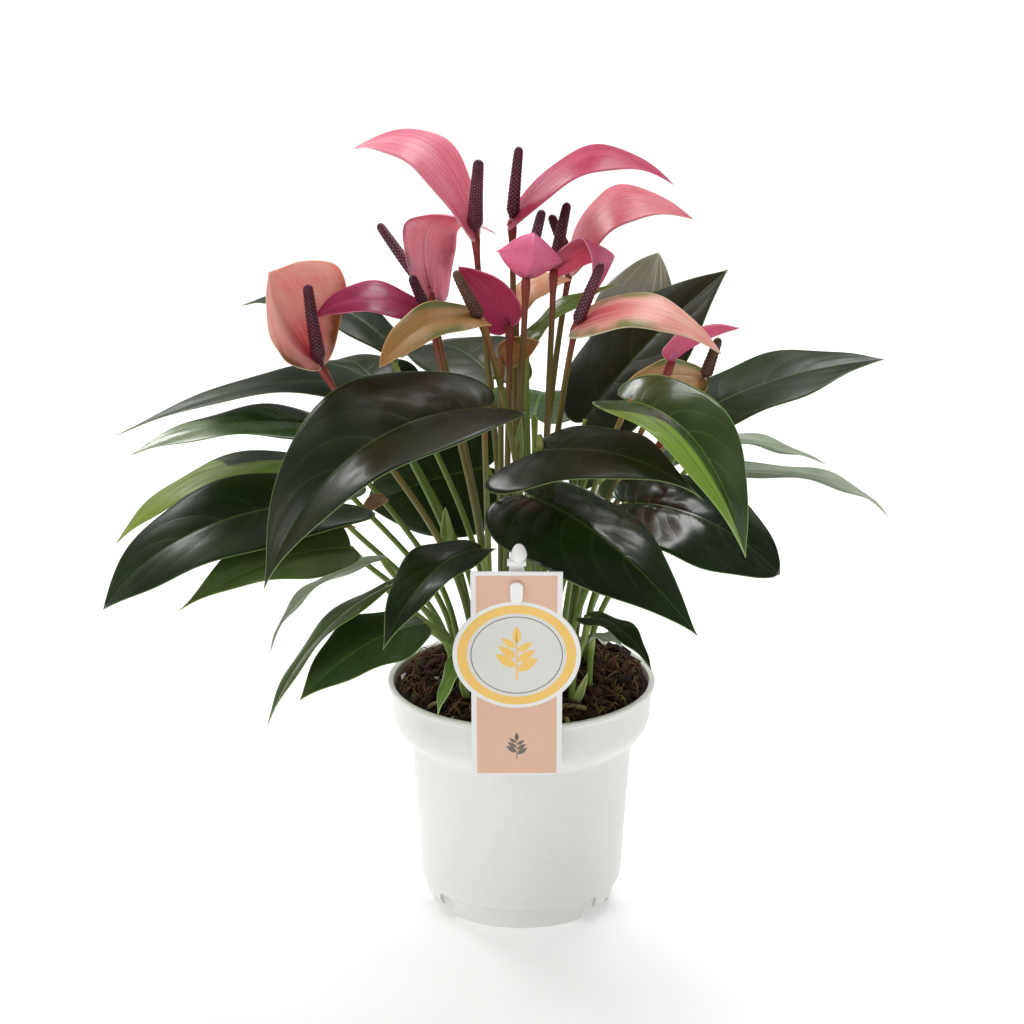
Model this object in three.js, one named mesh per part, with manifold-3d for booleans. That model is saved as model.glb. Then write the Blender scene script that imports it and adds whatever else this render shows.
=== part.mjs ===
// Potted flamingo flower in a white nursery pot, with a hang card on a plastic stake.
// Millimetres, +Z up, the origin in the middle under the pot's foot, the front towards -Y.

import * as THREE from "three";
import { mergeVertices } from "three/addons/utils/BufferGeometryUtils.js";
import Module from "manifold-3d";

const wasm = await Module();
wasm.setup();

const degrees = THREE.MathUtils.degToRad;
const UP = new THREE.Vector3(0, 0, 1);

// Clearance between pieces that touch
const GAP = 0.3;

// Steps of an arc: in the ring pieces, and twice as many in the card
const ARC_SEGMENTS = 5;

// Pot: a 12 cm nursery pot, its wide collar curving in to a tapered body on a cut foot ring
const POT = {
  height: 105,
  rimRadius: 60,
  beadHeight: 2.5,
  collarRadius: 58.2,
  bodyTopRadius: 49.6,
  bodyBottomRadius: 45.4,
  floorHeight: 10,
  footRadius: 41.5,
  centreFootRadius: 5,
  wall: 1.4,
  turns: 36,
};

// Radius and height of the wall where the body widens into the collar, outside and inside
const COLLAR_CURVE = [[POT.bodyTopRadius, 78], [53.2, 80.4], [56.9, 85.4], [58, 91]];
const INNER_CURVE = [[48.2, 79], [53.6, 82.6], [56.6, 91.4]];

// The foot's three recessed arcs, and the lugs and notches between them, in millimetres and degrees
const FIRST_RECESS_ANGLE = 267;
const RECESS_HALF_ANGLE = 45;
const LUG_BOTTOM = 4.5;
const LUG_HALF_ANGLE = 9;
const NOTCH_TOP = 14;
const NOTCH_HALF_ANGLE = 2.5;
const DRAIN_HOLE = { radius: 4, circle: 28, count: 6, sides: 8 };

// Soil: a mound a little over the rim in its middle
const SOIL = { edgeHeight: 102.5, crownHeight: 114, lump: 0.8, turns: 36, rings: 5 };
const HOLE_DEPTH = 8;
const HOLE_CLEARANCE = 0.6;
const HOLE_SIDES = 6;

// Stems and blades
const STEM = { sides: 5, steps: 6 };
const PETIOLE_RADIUS = 1.5;
const STALK_RADIUS = 1.6;
const KNEE_RADIUS = 2.5;
const BLADE_THICKNESS = 0.8;
const LEAF_SHAPE = { base: 0.78, taper: 1.2, lobe: 0.95, fold: 8, curl: -14, wave: 1.2 };
const SPATHE_SHAPE = { base: 0.6, taper: 1, lobe: 0.4, fold: 0, curl: -10, wave: 0.6 };
const EDGE_WAVES = 2.5;
const MIDWAY = 0.55;
const SPADIX = { radius: 2.7, sides: 8, rows: 8, relief: 0.13, neck: 0.9 };

// Card and stake: the card leans out over the rim, held at its top by the stake
const CARD = { width: 39, height: 104, thickness: 0.8, lean: 13, discRadius: 27.4, discFromTop: 42 };
const CARD_FOOT = { x: -2, y: -59.9, z: 83.5 };
const CARD_SLOT = { width: 7, height: 3, fromTop: 8 };
const STAKE = {
  width: 6,
  thickness: 1.6,
  length: 122,
  lean: 19,
  behind: 2.2,
  aboveCard: 2,
  bar: [8, 2.4, 2.4],
  bridge: [5.4, 6, 1.6],
  tongue: [5.4, 1.2, 11],
  knob: [[0, 0], [2.6, 0.4], [3.1, 2.4], [2.8, 5], [1.4, 7.6], [0, 8.4]],
  knobTurns: 10,
};

// Colours
const COLOURS = {
  pot: 0xf2f2f0,
  soil: 0x3d2b20,
  leaf: 0x2f5a24,
  youngLeaf: 0x7fa43a,
  pink: 0xe8739a,
  magenta: 0xd0407c,
  salmon: 0xef9a84,
  faded: 0xb59a6a,
  spadix: 0x3f2a2e,
  card: 0xf5cdb4,
  stake: 0xfafaf8,
};

// Leaves: the foot in the soil, the joint of stem and blade, the tip, the blade's width, its rise
// over the straight line, its turn about that line, and a second leaf that shares the foot
const LEAVES = [
  {
    name: "leaf_01", foot: [-22, 15], joint: [-62, 28, 228], tip: [-180, 18, 213], width: 48,
    arch: 13, lead: 0.28, taper: 1.5,
  },
  { name: "leaf_02", foot: [-28, 5], joint: [-84, 5, 220], tip: [-171, -8, 212], width: 46, arch: 8 },
  {
    name: "leaf_03", foot: [-30, 12], joint: [-88, 14, 202], tip: [-180, 0, 168], width: 36,
    arch: 15, lead: 0.55, taper: 0.95, fold: -4, curl: 0,
  },
  {
    name: "leaf_04", foot: [-31, -3], joint: [-84, -26, 196], tip: [-182, -38, 151], width: 52,
    arch: 17, lead: 0.55, taper: 0.95, face: [0, -0.35, 1],
  },
  {
    name: "leaf_05", foot: [-14, -10], joint: [-16, -36, 242], tip: [-108, -90, 179],
    width: 72, arch: 26, lead: 0.52, taper: 1.35, lobe: 0.6, fold: 18, face: [0, -0.2, 1],
  },
  {
    name: "leaf_06", foot: [-28, -12], joint: [-74, -40, 180], tip: [-147, -65, 160],
    width: 52, arch: 8, base: 0.7, taper: 1.7, lobe: 0.2, fold: 22, face: [0, -0.35, 1],
  },
  {
    name: "leaf_07", foot: [-29, -20], joint: [-60, -44, 177], tip: [-108, -62, 140],
    width: 16, arch: 10, lead: 0.6, lobe: 0.3, roll: 40,
  },
  {
    name: "leaf_08", foot: [-24, -25], joint: [-58, -56, 168], tip: [-108, -88, 117],
    width: 28, arch: 8, roll: 20,
  },
  {
    name: "leaf_09", foot: [-14, -33], joint: [-42, -58, 152], tip: [-94, -90, 129], width: 40,
    arch: 7, lobe: 0.2, face: [0, -0.2, 1],
  },
  {
    name: "leaf_10", foot: [-8, -20], joint: [-17, -50, 183], tip: [-58, -98, 155], width: 32,
    arch: 11, lobe: 0.4, fold: 16,
  },
  {
    name: "leaf_11", foot: [-8, -44], joint: [-18, -55, 142], tip: [-36, -69, 114], width: 12,
    arch: 5, lobe: 0.4,
  },
  {
    name: "leaf_12", foot: [8, -12], joint: [8, -40, 224], tip: [76, -86, 217], width: 64,
    arch: 10, lead: 0.6, base: 0.6, taper: 2, fold: 0, face: [0, -0.25, 1], bend: [8, 12, 238],
  },
  {
    name: "leaf_13", foot: [2, -24], joint: [4, -38, 203], tip: [74, -95, 160], width: 58,
    arch: 10, taper: 1.35, lobe: 1, fold: -10, face: [-0.35, 0, 1],
  },
  {
    name: "leaf_14", foot: [14, 2], joint: [29, 29, 217], tip: [92, 41, 283], width: 58,
    arch: 5, lobe: 0.6, face: [0, -0.4, 1],
  },
  {
    name: "leaf_15", foot: [14, 22], joint: [46, 50, 238], tip: [62, 64, 285], width: 40,
    arch: 5, taper: 1, face: [0, -0.4, 1],
  },
  {
    name: "leaf_16", foot: [28, 9], joint: [79, 11, 226], tip: [160, 18, 248], width: 54,
    arch: 5, face: [0, -0.15, 1],
  },
  {
    name: "leaf_17", foot: [18, -8], joint: [47, -40, 246], tip: [95, -70, 186], width: 40,
    arch: 20, lead: 0.35, fold: 22, face: [0, -0.35, 1], bend: [44, -4, 232],
  },
  {
    name: "leaf_18", foot: [20, -18], joint: [46, -26, 196], tip: [112, -40, 168], width: 58,
    arch: 10, base: 0.7, taper: 0.75, fold: 4, face: [0, -0.35, 1],
  },
  { name: "leaf_19", foot: [28, 18], joint: [84, 28, 209], tip: [137, 32, 195], width: 22, arch: 3 },
  {
    name: "leaf_20", foot: [30, 2], joint: [82, 4, 201], tip: [163, 4, 179], width: 22,
    arch: 10, lead: 0.7, lobe: 0.4,
  },
  { name: "leaf_21", foot: [22, -34], joint: [30, -43, 149], tip: [56, -62, 132], width: 16, arch: 6 },
  { name: "leaf_22", foot: [30, -22], joint: [31, -28, 134], tip: [44, -36, 133], width: 12, arch: 3 },
  {
    name: "leaf_23", foot: [-18, 24], joint: [-60, 58, 213], tip: [-92, 112, 218], width: 46,
    arch: 11,
  },
  { name: "leaf_24", foot: [-6, 22], joint: [-14, 38, 235], tip: [-56, 96, 226], width: 54, arch: 10 },
  {
    name: "leaf_25", foot: [-14, 16], joint: [-60, 30, 253], tip: [-125, 46, 265], width: 42,
    arch: 10,
  },
  { name: "leaf_26", foot: [6, 26], joint: [6, 54, 212], tip: [14, 126, 194], width: 48, arch: 8 },
  {
    name: "leaf_27", foot: [4, 3], joint: [2, 14, 257], tip: [44, 26, 280], width: 18, arch: 5,
    young: true,
  },
  {
    name: "leaf_28", foot: [14, 31], joint: [38, 62, 178], tip: [88, 106, 166], width: 50, arch: 12,
    twin: { joint: [-16, 62, 184], tip: [-72, 66, 164], width: 60, arch: 9, face: [0, -1, 0.6] },
  },
];

// Blooms: as for leaves, with the way the spathe's inner side faces, its colour and the spadix's end
const BLOOMS = [
  {
    name: "bloom_01", colour: "salmon", foot: [-21, -5], joint: [-87, -14, 255],
    tip: [-108, -21, 298], width: 64, arch: -5, fold: 24, curl: 12, base: 0.9, taper: 0.5,
    face: [0.75, -0.6, 0.3], spadixEnd: [-91, -27, 294],
  },
  {
    name: "bloom_02", colour: "magenta", foot: [-14, 2], joint: [-39, -4, 273],
    tip: [-90, -14, 275], width: 28, arch: 11, lead: 0.6, fold: 5, face: [0, -0.3, 1],
    spadixEnd: [-47, -16, 295],
  },
  {
    name: "bloom_03", colour: "pink", foot: [-7, 3], joint: [-20, 0, 311], tip: [-73, 12, 344],
    width: 38, arch: 21, lead: 0.62, base: 0.9, face: [0.3, -0.25, 0.85],
    spadixEnd: [-18, -28, 348],
  },
  {
    name: "bloom_04", colour: "pink", foot: [-14, 9], joint: [-40, 16, 279],
    tip: [-11, 14, 306], width: 56, arch: 24, lead: 0.5, face: [-0.45, 0.5, 0.75],
    spadixEnd: [-63, 36, 305],
  },
  {
    name: "bloom_05", colour: "magenta", foot: [-2, 14], joint: [-4, 14, 312],
    tip: [66, 18, 327], width: 36, arch: 21, lead: 0.6, base: 0.8, face: [0, -0.1, 1],
    spadixEnd: [-1, 8, 346],
  },
  {
    name: "bloom_06", colour: "salmon", foot: [7, 17], joint: [22, 40, 287],
    tip: [76, 40, 306], width: 44, arch: 20, lead: 0.5, base: 0.6, face: [0, -0.2, 1],
    spadixEnd: [13, 32, 310], bend: [14, 38, 238],
  },
  {
    name: "bloom_07", colour: "magenta", foot: [-4, -4], joint: [2, -16, 294],
    tip: [5, -11, 313], width: 33, arch: -7, fold: 20, curl: 15, base: 0.7, taper: 0.6,
    face: [-0.1, 0.95, 0.2], spadixEnd: [9, -3, 321],
  },
  {
    name: "bloom_08", colour: "magenta", foot: [9, 5], joint: [14, 3, 293],
    tip: [29, -12, 283], width: 30, arch: 21, face: [0.6, 0.1, 0.8], spadixEnd: [20, 14, 320],
  },
  {
    name: "bloom_09", colour: "salmon", foot: [9, -4], joint: [23, -32, 277],
    tip: [85, -40, 267], width: 28, arch: 16, face: [0, -0.35, 1], spadixEnd: [34, -36, 306],
    bend: [19, -2, 246],
  },
  {
    name: "bloom_10", colour: "pink", foot: [22, 2], joint: [65, -12, 256],
    tip: [94, -16, 272], width: 24, arch: 2, fold: 34, face: [-0.3, 0.5, 1],
    spadixEnd: [68, -9, 270],
  },
  {
    name: "bloom_11", colour: "faded", foot: [4, -8], joint: [-17, -28, 279],
    tip: [-60, -50, 264], width: 26, arch: 10, taper: 0.8, fold: 10, face: [0, -0.3, 1],
    spadixEnd: [-28, -34, 302], bend: [-5, -20, 238],
  },
  {
    name: "bloom_12", colour: "faded", foot: [24, 13], joint: [80, 4, 243], tip: [42, 4, 236],
    width: 24, arch: 6, face: [0, -0.5, 1], spadixEnd: [86, 0, 263],
  },
  {
    name: "bloom_13", colour: "magenta", foot: [-7, -7], joint: [-5, -13, 272],
    tip: [-27, -15, 299], width: 21, arch: 5, face: [-0.3, 0.8, 0.3], spadixEnd: null,
  },
  {
    name: "bloom_14", colour: "faded", foot: [5, 11], joint: [-3, 28, 270], tip: [22, 30, 281],
    width: 22, arch: 6, face: [0, -0.3, 1], spadixEnd: null,
  },
  {
    name: "bloom_15", colour: "faded", foot: [-9, -2], joint: [-9, -3, 255], tip: [8, -2, 262],
    width: 13, arch: 2, face: [0, -1, 0.5], spadixEnd: null,
  },
  {
    name: "bloom_16", colour: "pink", foot: [19, 7], joint: [64, -4, 220], tip: [56, -10, 226],
    width: 8, arch: 2, face: [0, -0.3, 1], spadixEnd: null, bend: [46, 10, 190],
  },
];

/** Turns a closed geometry into a manifold solid. */
function solidOf(geometry) {
  const bare = new THREE.BufferGeometry();
  bare.setAttribute("position", geometry.getAttribute("position").clone());
  if (geometry.index) bare.setIndex(geometry.index.clone());
  const merged = mergeVertices(bare, 1e-5);
  const mesh = new wasm.Mesh({
    numProp: 3,
    vertProperties: new Float32Array(merged.getAttribute("position").array),
    triVerts: new Uint32Array(merged.index.array),
  });
  return new wasm.Manifold(mesh);
}

/** Turns a manifold solid back into a geometry. */
function geometryOf(solid) {
  const mesh = solid.getMesh();
  const geometry = new THREE.BufferGeometry();
  geometry.setAttribute("position", new THREE.BufferAttribute(new Float32Array(mesh.vertProperties), 3));
  geometry.setIndex(new THREE.BufferAttribute(new Uint32Array(mesh.triVerts), 1));
  geometry.computeVertexNormals();
  return geometry;
}

/** A solid of revolution about Z from [radius, height] points that close or end on the axis. */
function turned(profile, turns) {
  const points = profile.map(([radius, height]) => new THREE.Vector2(radius, height));
  const geometry = new THREE.LatheGeometry(points, turns);
  geometry.rotateX(Math.PI / 2);
  return geometry;
}

/** A piece of a ring between two radii, two angles in degrees and two heights. */
function ringPiece(innerRadius, outerRadius, startAngle, endAngle, bottom, top) {
  const shape = new THREE.Shape();
  shape.absarc(0, 0, outerRadius, degrees(startAngle), degrees(endAngle), false);
  shape.absarc(0, 0, innerRadius, degrees(endAngle), degrees(startAngle), true);
  const geometry = new THREE.ExtrudeGeometry(shape, {
    depth: top - bottom, bevelEnabled: false, curveSegments: ARC_SEGMENTS,
  });
  geometry.translate(0, 0, bottom);
  return solidOf(geometry);
}

/** The pot: a turned shell, its foot ring, lugs and centre foot, and what is cut from them. */
function makePot() {
  const { height, rimRadius, beadHeight, collarRadius, wall, floorHeight } = POT;
  const shell = turned([
    [0, floorHeight - wall],
    [POT.bodyBottomRadius - 2, floorHeight - wall],
    [POT.bodyBottomRadius, floorHeight],
    ...COLLAR_CURVE,
    [collarRadius + 0.3, height - beadHeight],
    [rimRadius, height - beadHeight + 0.6],
    [rimRadius, height - 0.8],
    [rimRadius - 0.7, height],
    [collarRadius - wall, height - 0.9],
    ...INNER_CURVE.toReversed(),
    [POT.bodyBottomRadius - wall, floorHeight],
    [0, floorHeight],
  ], POT.turns);
  const centreFoot = new THREE.CylinderGeometry(
    POT.centreFootRadius, POT.centreFootRadius, floorHeight - wall / 2, 2 * ARC_SEGMENTS,
  );
  centreFoot.rotateX(Math.PI / 2);
  centreFoot.translate(0, 0, (floorHeight - wall / 2) / 2);
  let pot = solidOf(shell).add(solidOf(centreFoot));
  for (let third = 0; third < 3; third += 1) {
    const middle = FIRST_RECESS_ANGLE + 120 * third;
    const lug = middle + 60;
    pot = pot.add(ringPiece(
      POT.footRadius - wall, POT.footRadius,
      middle - RECESS_HALF_ANGLE, middle + RECESS_HALF_ANGLE, 0, floorHeight - wall / 2,
    ));
    pot = pot.add(ringPiece(
      POT.bodyBottomRadius - 2.4, POT.bodyBottomRadius - 0.4,
      lug - LUG_HALF_ANGLE, lug + LUG_HALF_ANGLE, LUG_BOTTOM, floorHeight,
    ));
    for (const side of [-1, 1]) {
      const notch = middle + side * (RECESS_HALF_ANGLE + NOTCH_HALF_ANGLE + 0.5);
      pot = pot.subtract(ringPiece(
        POT.footRadius, POT.bodyTopRadius, notch - NOTCH_HALF_ANGLE, notch + NOTCH_HALF_ANGLE, -1, NOTCH_TOP,
      ));
    }
  }
  for (let hole = 0; hole < DRAIN_HOLE.count; hole += 1) {
    const angle = (hole / DRAIN_HOLE.count) * 2 * Math.PI;
    const { radius, circle, sides } = DRAIN_HOLE;
    const drain = new THREE.CylinderGeometry(radius, radius, 4 * wall, sides);
    drain.rotateX(Math.PI / 2);
    drain.translate(circle * Math.cos(angle), circle * Math.sin(angle), floorHeight);
    pot = pot.subtract(solidOf(drain));
  }
  return pot;
}

/** The soil's height at a place, a low mound with soft lumps. */
function soilHeight(x, y) {
  const reach = Math.min(1, Math.hypot(x, y) / (POT.collarRadius - POT.wall));
  const mound = THREE.MathUtils.lerp(SOIL.crownHeight, SOIL.edgeHeight, reach ** 2.2);
  const lumps = Math.sin(0.31 * x + 1.2) * Math.cos(0.27 * y + 0.4) + 0.5 * Math.sin(0.55 * x - 0.4 * y);
  return mound + SOIL.lump * lumps * (1 - reach ** 4);
}

/** The soil that fills the pot, with a plain hole at each stem's foot and a slot for the stake. */
function makeSoil(feet, stakeSlot) {
  const profile = [
    [0, POT.floorHeight + GAP],
    [POT.bodyBottomRadius - POT.wall - GAP, POT.floorHeight + GAP],
    ...INNER_CURVE.map(([radius, height]) => [radius - GAP, height + GAP]),
  ];
  const outer = profile.at(-1)[0];
  const topFrom = profile.length;
  for (let ring = SOIL.rings; ring >= 0; ring -= 1) {
    profile.push([(outer * ring) / SOIL.rings, SOIL.edgeHeight]);
  }
  const geometry = turned(profile, SOIL.turns);
  const places = geometry.getAttribute("position");
  for (let index = 0; index < places.count; index += 1) {
    if (index % profile.length >= topFrom) {
      places.setZ(index, soilHeight(places.getX(index), places.getY(index)));
    }
  }
  let soil = solidOf(geometry);
  for (const [x, y] of feet) {
    const top = soilHeight(x, y);
    const radius = STALK_RADIUS + HOLE_CLEARANCE;
    const hole = new THREE.CylinderGeometry(radius, radius, 2 * HOLE_DEPTH, HOLE_SIDES);
    hole.rotateX(Math.PI / 2);
    hole.translate(x, y, top);
    soil = soil.subtract(solidOf(hole));
  }
  return soil.subtract(stakeSlot);
}

/** The line down the middle of a blade, an arc from its joint to its tip, and the frame along it. */
class Spine {
  constructor({ joint, tip, arch, lead = 0.45, face = [0, 0, 1], roll = 0 }) {
    this.joint = new THREE.Vector3(...joint);
    this.tip = new THREE.Vector3(...tip);
    const chord = this.tip.clone().sub(this.joint);
    this.length = chord.length();
    const ahead = chord.clone().normalize();
    const facing = new THREE.Vector3(...face).applyAxisAngle(ahead, degrees(roll));
    this.side = ahead.clone().cross(facing).normalize();
    const rise = this.side.clone().cross(ahead);
    this.middle = this.joint.clone()
      .addScaledVector(chord, lead)
      .addScaledVector(rise, arch * 2);
  }

  /** The point at a share s of the length, below 0 behind the joint. */
  point(s) {
    return this.joint.clone().multiplyScalar((1 - s) ** 2)
      .addScaledVector(this.middle, 2 * s * (1 - s))
      .addScaledVector(this.tip, s ** 2);
  }

  /** The directions to the blade's right side and out of its upper face at a share s. */
  frame(s) {
    const ahead = this.middle.clone().sub(this.joint).multiplyScalar(1 - s)
      .add(this.tip.clone().sub(this.middle).multiplyScalar(s))
      .normalize();
    const normal = this.side.clone().cross(ahead).normalize();
    return { side: ahead.clone().cross(normal), normal };
  }
}

/** The margin of a heart-shaped blade at t from joint to tip, in shares of length and half width. */
function marginAt(t, shape) {
  const u = t * t;
  const widest = shape.base / (shape.base + shape.taper);
  const scale = 1 / (widest ** shape.base * (1 - widest) ** shape.taper);
  return {
    along: u - shape.lobe * t * (1 - u) ** 3,
    across: scale * u ** shape.base * (1 - u) ** shape.taper,
  };
}

/** A point of a blade and the normal there. v runs from -1 at the left margin to 1 at the right. */
function bladePoint(spine, blade, shape, t, v) {
  const form = { ...shape, ...blade };
  const { width, fold, curl, wave } = form;
  const margin = marginAt(t, form);
  const far = Math.abs(v);
  const s = THREE.MathUtils.lerp(t * t, margin.along, far);
  const out = (margin.across * far * width) / 2;
  const bend = (degrees(curl) * out) / width;
  const lean = degrees(fold) + bend;
  const { side, normal } = spine.frame(s);
  const ripple = wave * far * far * margin.across * Math.sin(2 * Math.PI * EDGE_WAVES * t * t + Math.sign(v));
  const slope = lean + bend;
  const point = spine.point(s)
    .addScaledVector(side, Math.sign(v) * out * Math.cos(lean))
    .addScaledVector(normal, out * Math.sin(lean) + ripple);
  const outwards = normal.clone().multiplyScalar(Math.cos(slope))
    .addScaledVector(side, v === 0 ? 0 : -Math.sign(v) * Math.sin(slope))
    .normalize();
  return { point, outwards };
}

/** How many rows of faces a blade has along its length. */
function rowsFor({ width }) {
  return width > 30 ? 7 : 5;
}

/** A thin closed blade: two alike faces, joined along the margin. */
function makeBlade(blade, shape, rows) {
  const spine = new Spine(blade);
  const columns = [-1, -MIDWAY, 0, MIDWAY, 1];
  const across = columns.length;
  const positions = [];
  const indices = [];
  const half = BLADE_THICKNESS / 2;
  const place = ({ point, outwards }, sign) => {
    positions.push(...point.clone().addScaledVector(outwards, sign * half).toArray());
  };
  for (const sign of [1, -1]) {
    place(bladePoint(spine, blade, shape, 0, 0), sign);
    for (let row = 1; row < rows; row += 1) {
      for (const v of columns) place(bladePoint(spine, blade, shape, row / rows, v), sign);
    }
    place(bladePoint(spine, blade, shape, 1, 0), sign);
  }
  const faceCount = positions.length / 6;
  const triangle = (a, b, c) => {
    indices.push(a, b, c, faceCount + a, faceCount + c, faceCount + b);
  };
  const at = (row, column) => 1 + (row - 1) * across + column;
  const tip = faceCount - 1;
  for (let column = 0; column < across - 1; column += 1) {
    triangle(0, at(1, column + 1), at(1, column));
    triangle(tip, at(rows - 1, column), at(rows - 1, column + 1));
    for (let row = 1; row < rows - 1; row += 1) {
      const right = column >= across / 2 - 1;
      const a = at(row, column);
      const b = at(row, column + 1);
      const c = at(row + 1, column + 1);
      const d = at(row + 1, column);
      if (right) {
        triangle(a, b, c);
        triangle(a, c, d);
      } else {
        triangle(a, b, d);
        triangle(b, c, d);
      }
    }
  }
  const rim = [0];
  for (let row = 1; row < rows; row += 1) rim.push(at(row, across - 1));
  rim.push(tip);
  for (let row = rows - 1; row >= 1; row -= 1) rim.push(at(row, 0));
  rim.forEach((from, index) => {
    const to = rim[(index + 1) % rim.length];
    indices.push(from, faceCount + from, to, to, faceCount + from, faceCount + to);
  });
  const geometry = new THREE.BufferGeometry();
  geometry.setAttribute("position", new THREE.Float32BufferAttribute(positions, 3));
  geometry.setIndex(indices);
  return solidOf(geometry);
}

/** A stem from its hole in the soil to a joint, upright at its foot and leaning out above. */
function makeStem({ foot, joint, bend }, radius) {
  const [footX, footY] = foot;
  const surface = new THREE.Vector3(footX, footY, soilHeight(footX, footY) + 1);
  const bottom = surface.clone().addScaledVector(UP, GAP - HOLE_DEPTH - 1);
  const end = new THREE.Vector3(...joint);
  const rise = end.z - surface.z;
  const reach = end.clone().sub(surface).setZ(0);
  const second = bend
    ? new THREE.Vector3(...bend)
    : end.clone().addScaledVector(reach, -0.3).addScaledVector(UP, -0.3 * rise);
  const path = new THREE.CurvePath();
  path.add(new THREE.LineCurve3(bottom, surface));
  const first = surface.clone().addScaledVector(UP, 0.45 * rise);
  path.add(new THREE.CubicBezierCurve3(surface, first, second, end));
  const corners = Array.from({ length: STEM.sides }, (_, corner) => {
    const angle = (2 * Math.PI * corner) / STEM.sides;
    return new THREE.Vector2(radius * Math.cos(angle), radius * Math.sin(angle));
  });
  const geometry = new THREE.ExtrudeGeometry(new THREE.Shape(corners), {
    extrudePath: path, steps: STEM.steps,
  });
  return solidOf(geometry);
}

/** The round knee at the top of a stalk, which spathe and spadix grow from. */
function makeKnee({ joint }) {
  const knee = new THREE.IcosahedronGeometry(KNEE_RADIUS, 0);
  knee.translate(...joint);
  return solidOf(knee);
}

/** The spadix: a tapered rod set with florets as raised points, standing on the knee. */
function makeSpadix({ joint, spadixEnd }, radius) {
  const start = new THREE.Vector3(...joint);
  const end = new THREE.Vector3(...spadixEnd);
  const ahead = end.clone().sub(start).normalize();
  start.addScaledVector(ahead, KNEE_RADIUS + GAP);
  const side = ahead.clone().cross(new THREE.Vector3(0.3, 1, 0.2)).normalize();
  const other = ahead.clone().cross(side);
  const positions = [...start.toArray()];
  const indices = [];
  const { sides, rows, relief, neck } = SPADIX;
  for (let row = 0; row < rows; row += 1) {
    const s = row / (rows - 1);
    const height = s * start.distanceTo(end) * 0.96;
    const body = radius * (1 - 0.28 * s) * Math.min(1, 0.55 + 1.8 * s);
    for (let step = 0; step < sides; step += 1) {
      const angle = (2 * Math.PI * step) / sides;
      const raised = row === 0 ? neck : body * (1 + relief * ((row + step) % 2 ? 1 : -1));
      const point = start.clone()
        .addScaledVector(ahead, row === 0 ? 0 : height)
        .addScaledVector(side, raised * Math.cos(angle))
        .addScaledVector(other, raised * Math.sin(angle));
      positions.push(...point.toArray());
    }
  }
  positions.push(...end.toArray());
  const at = (row, step) => 1 + row * sides + (step % sides);
  const top = positions.length / 3 - 1;
  for (let step = 0; step < sides; step += 1) {
    indices.push(0, at(0, step + 1), at(0, step));
    indices.push(top, at(rows - 1, step), at(rows - 1, step + 1));
    for (let row = 0; row < rows - 1; row += 1) {
      const a = at(row, step);
      const b = at(row, step + 1);
      const c = at(row + 1, step + 1);
      const d = at(row + 1, step);
      if ((row + step) % 2) indices.push(a, b, c, a, c, d);
      else indices.push(a, b, d, b, c, d);
    }
  }
  const geometry = new THREE.BufferGeometry();
  geometry.setAttribute("position", new THREE.Float32BufferAttribute(positions, 3));
  geometry.setIndex(indices);
  return solidOf(geometry);
}

/** A box by its size and middle, turned about X by an angle in degrees about a pivot. */
function leaningBox(size, middle, lean, pivot) {
  const box = new THREE.BoxGeometry(...size);
  box.translate(...middle);
  box.rotateX(degrees(lean));
  box.translate(pivot.x, pivot.y, pivot.z);
  return solidOf(box);
}

/** The card: a strip with a round plate across it and a slot near its top, leaning out. */
function makeCard() {
  const outline = new THREE.Shape();
  const halfWidth = CARD.width / 2;
  const discHeight = CARD.height - CARD.discFromTop;
  const meet = Math.acos(halfWidth / CARD.discRadius);
  outline.moveTo(-halfWidth, 0);
  outline.lineTo(halfWidth, 0);
  outline.absarc(0, discHeight, CARD.discRadius, -meet, meet, false);
  outline.lineTo(halfWidth, CARD.height);
  outline.lineTo(-halfWidth, CARD.height);
  outline.absarc(0, discHeight, CARD.discRadius, Math.PI - meet, Math.PI + meet, false);
  const slot = new THREE.Path();
  const slotTop = CARD.height - CARD_SLOT.fromTop;
  slot.moveTo(-CARD_SLOT.width / 2, slotTop - CARD_SLOT.height);
  slot.lineTo(-CARD_SLOT.width / 2, slotTop);
  slot.lineTo(CARD_SLOT.width / 2, slotTop);
  slot.lineTo(CARD_SLOT.width / 2, slotTop - CARD_SLOT.height);
  outline.holes.push(slot);
  const card = new THREE.ExtrudeGeometry(outline, {
    depth: CARD.thickness, bevelEnabled: false, curveSegments: 2 * ARC_SEGMENTS,
  });
  card.rotateX(Math.PI / 2 + degrees(CARD.lean));
  card.translate(CARD_FOOT.x, CARD_FOOT.y, CARD_FOOT.z);
  return solidOf(card);
}

/** Where the stake's top is: over the middle of the card's upper edge, in the card's plane. */
function stakeTop() {
  const up = new THREE.Vector3(0, -Math.sin(degrees(CARD.lean)), Math.cos(degrees(CARD.lean)));
  return new THREE.Vector3(CARD_FOOT.x, CARD_FOOT.y, CARD_FOOT.z)
    .addScaledVector(up, CARD.height + STAKE.aboveCard);
}

/** The stake's strip, from just over the card down behind it into the soil, made wider by a margin. */
function stakeStrip(margin) {
  const length = STAKE.length + 2 * margin;
  const size = [STAKE.width + 2 * margin, STAKE.thickness + 2 * margin, length];
  return leaningBox(size, [0, STAKE.behind, 3 + margin - length / 2], STAKE.lean, stakeTop());
}

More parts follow.
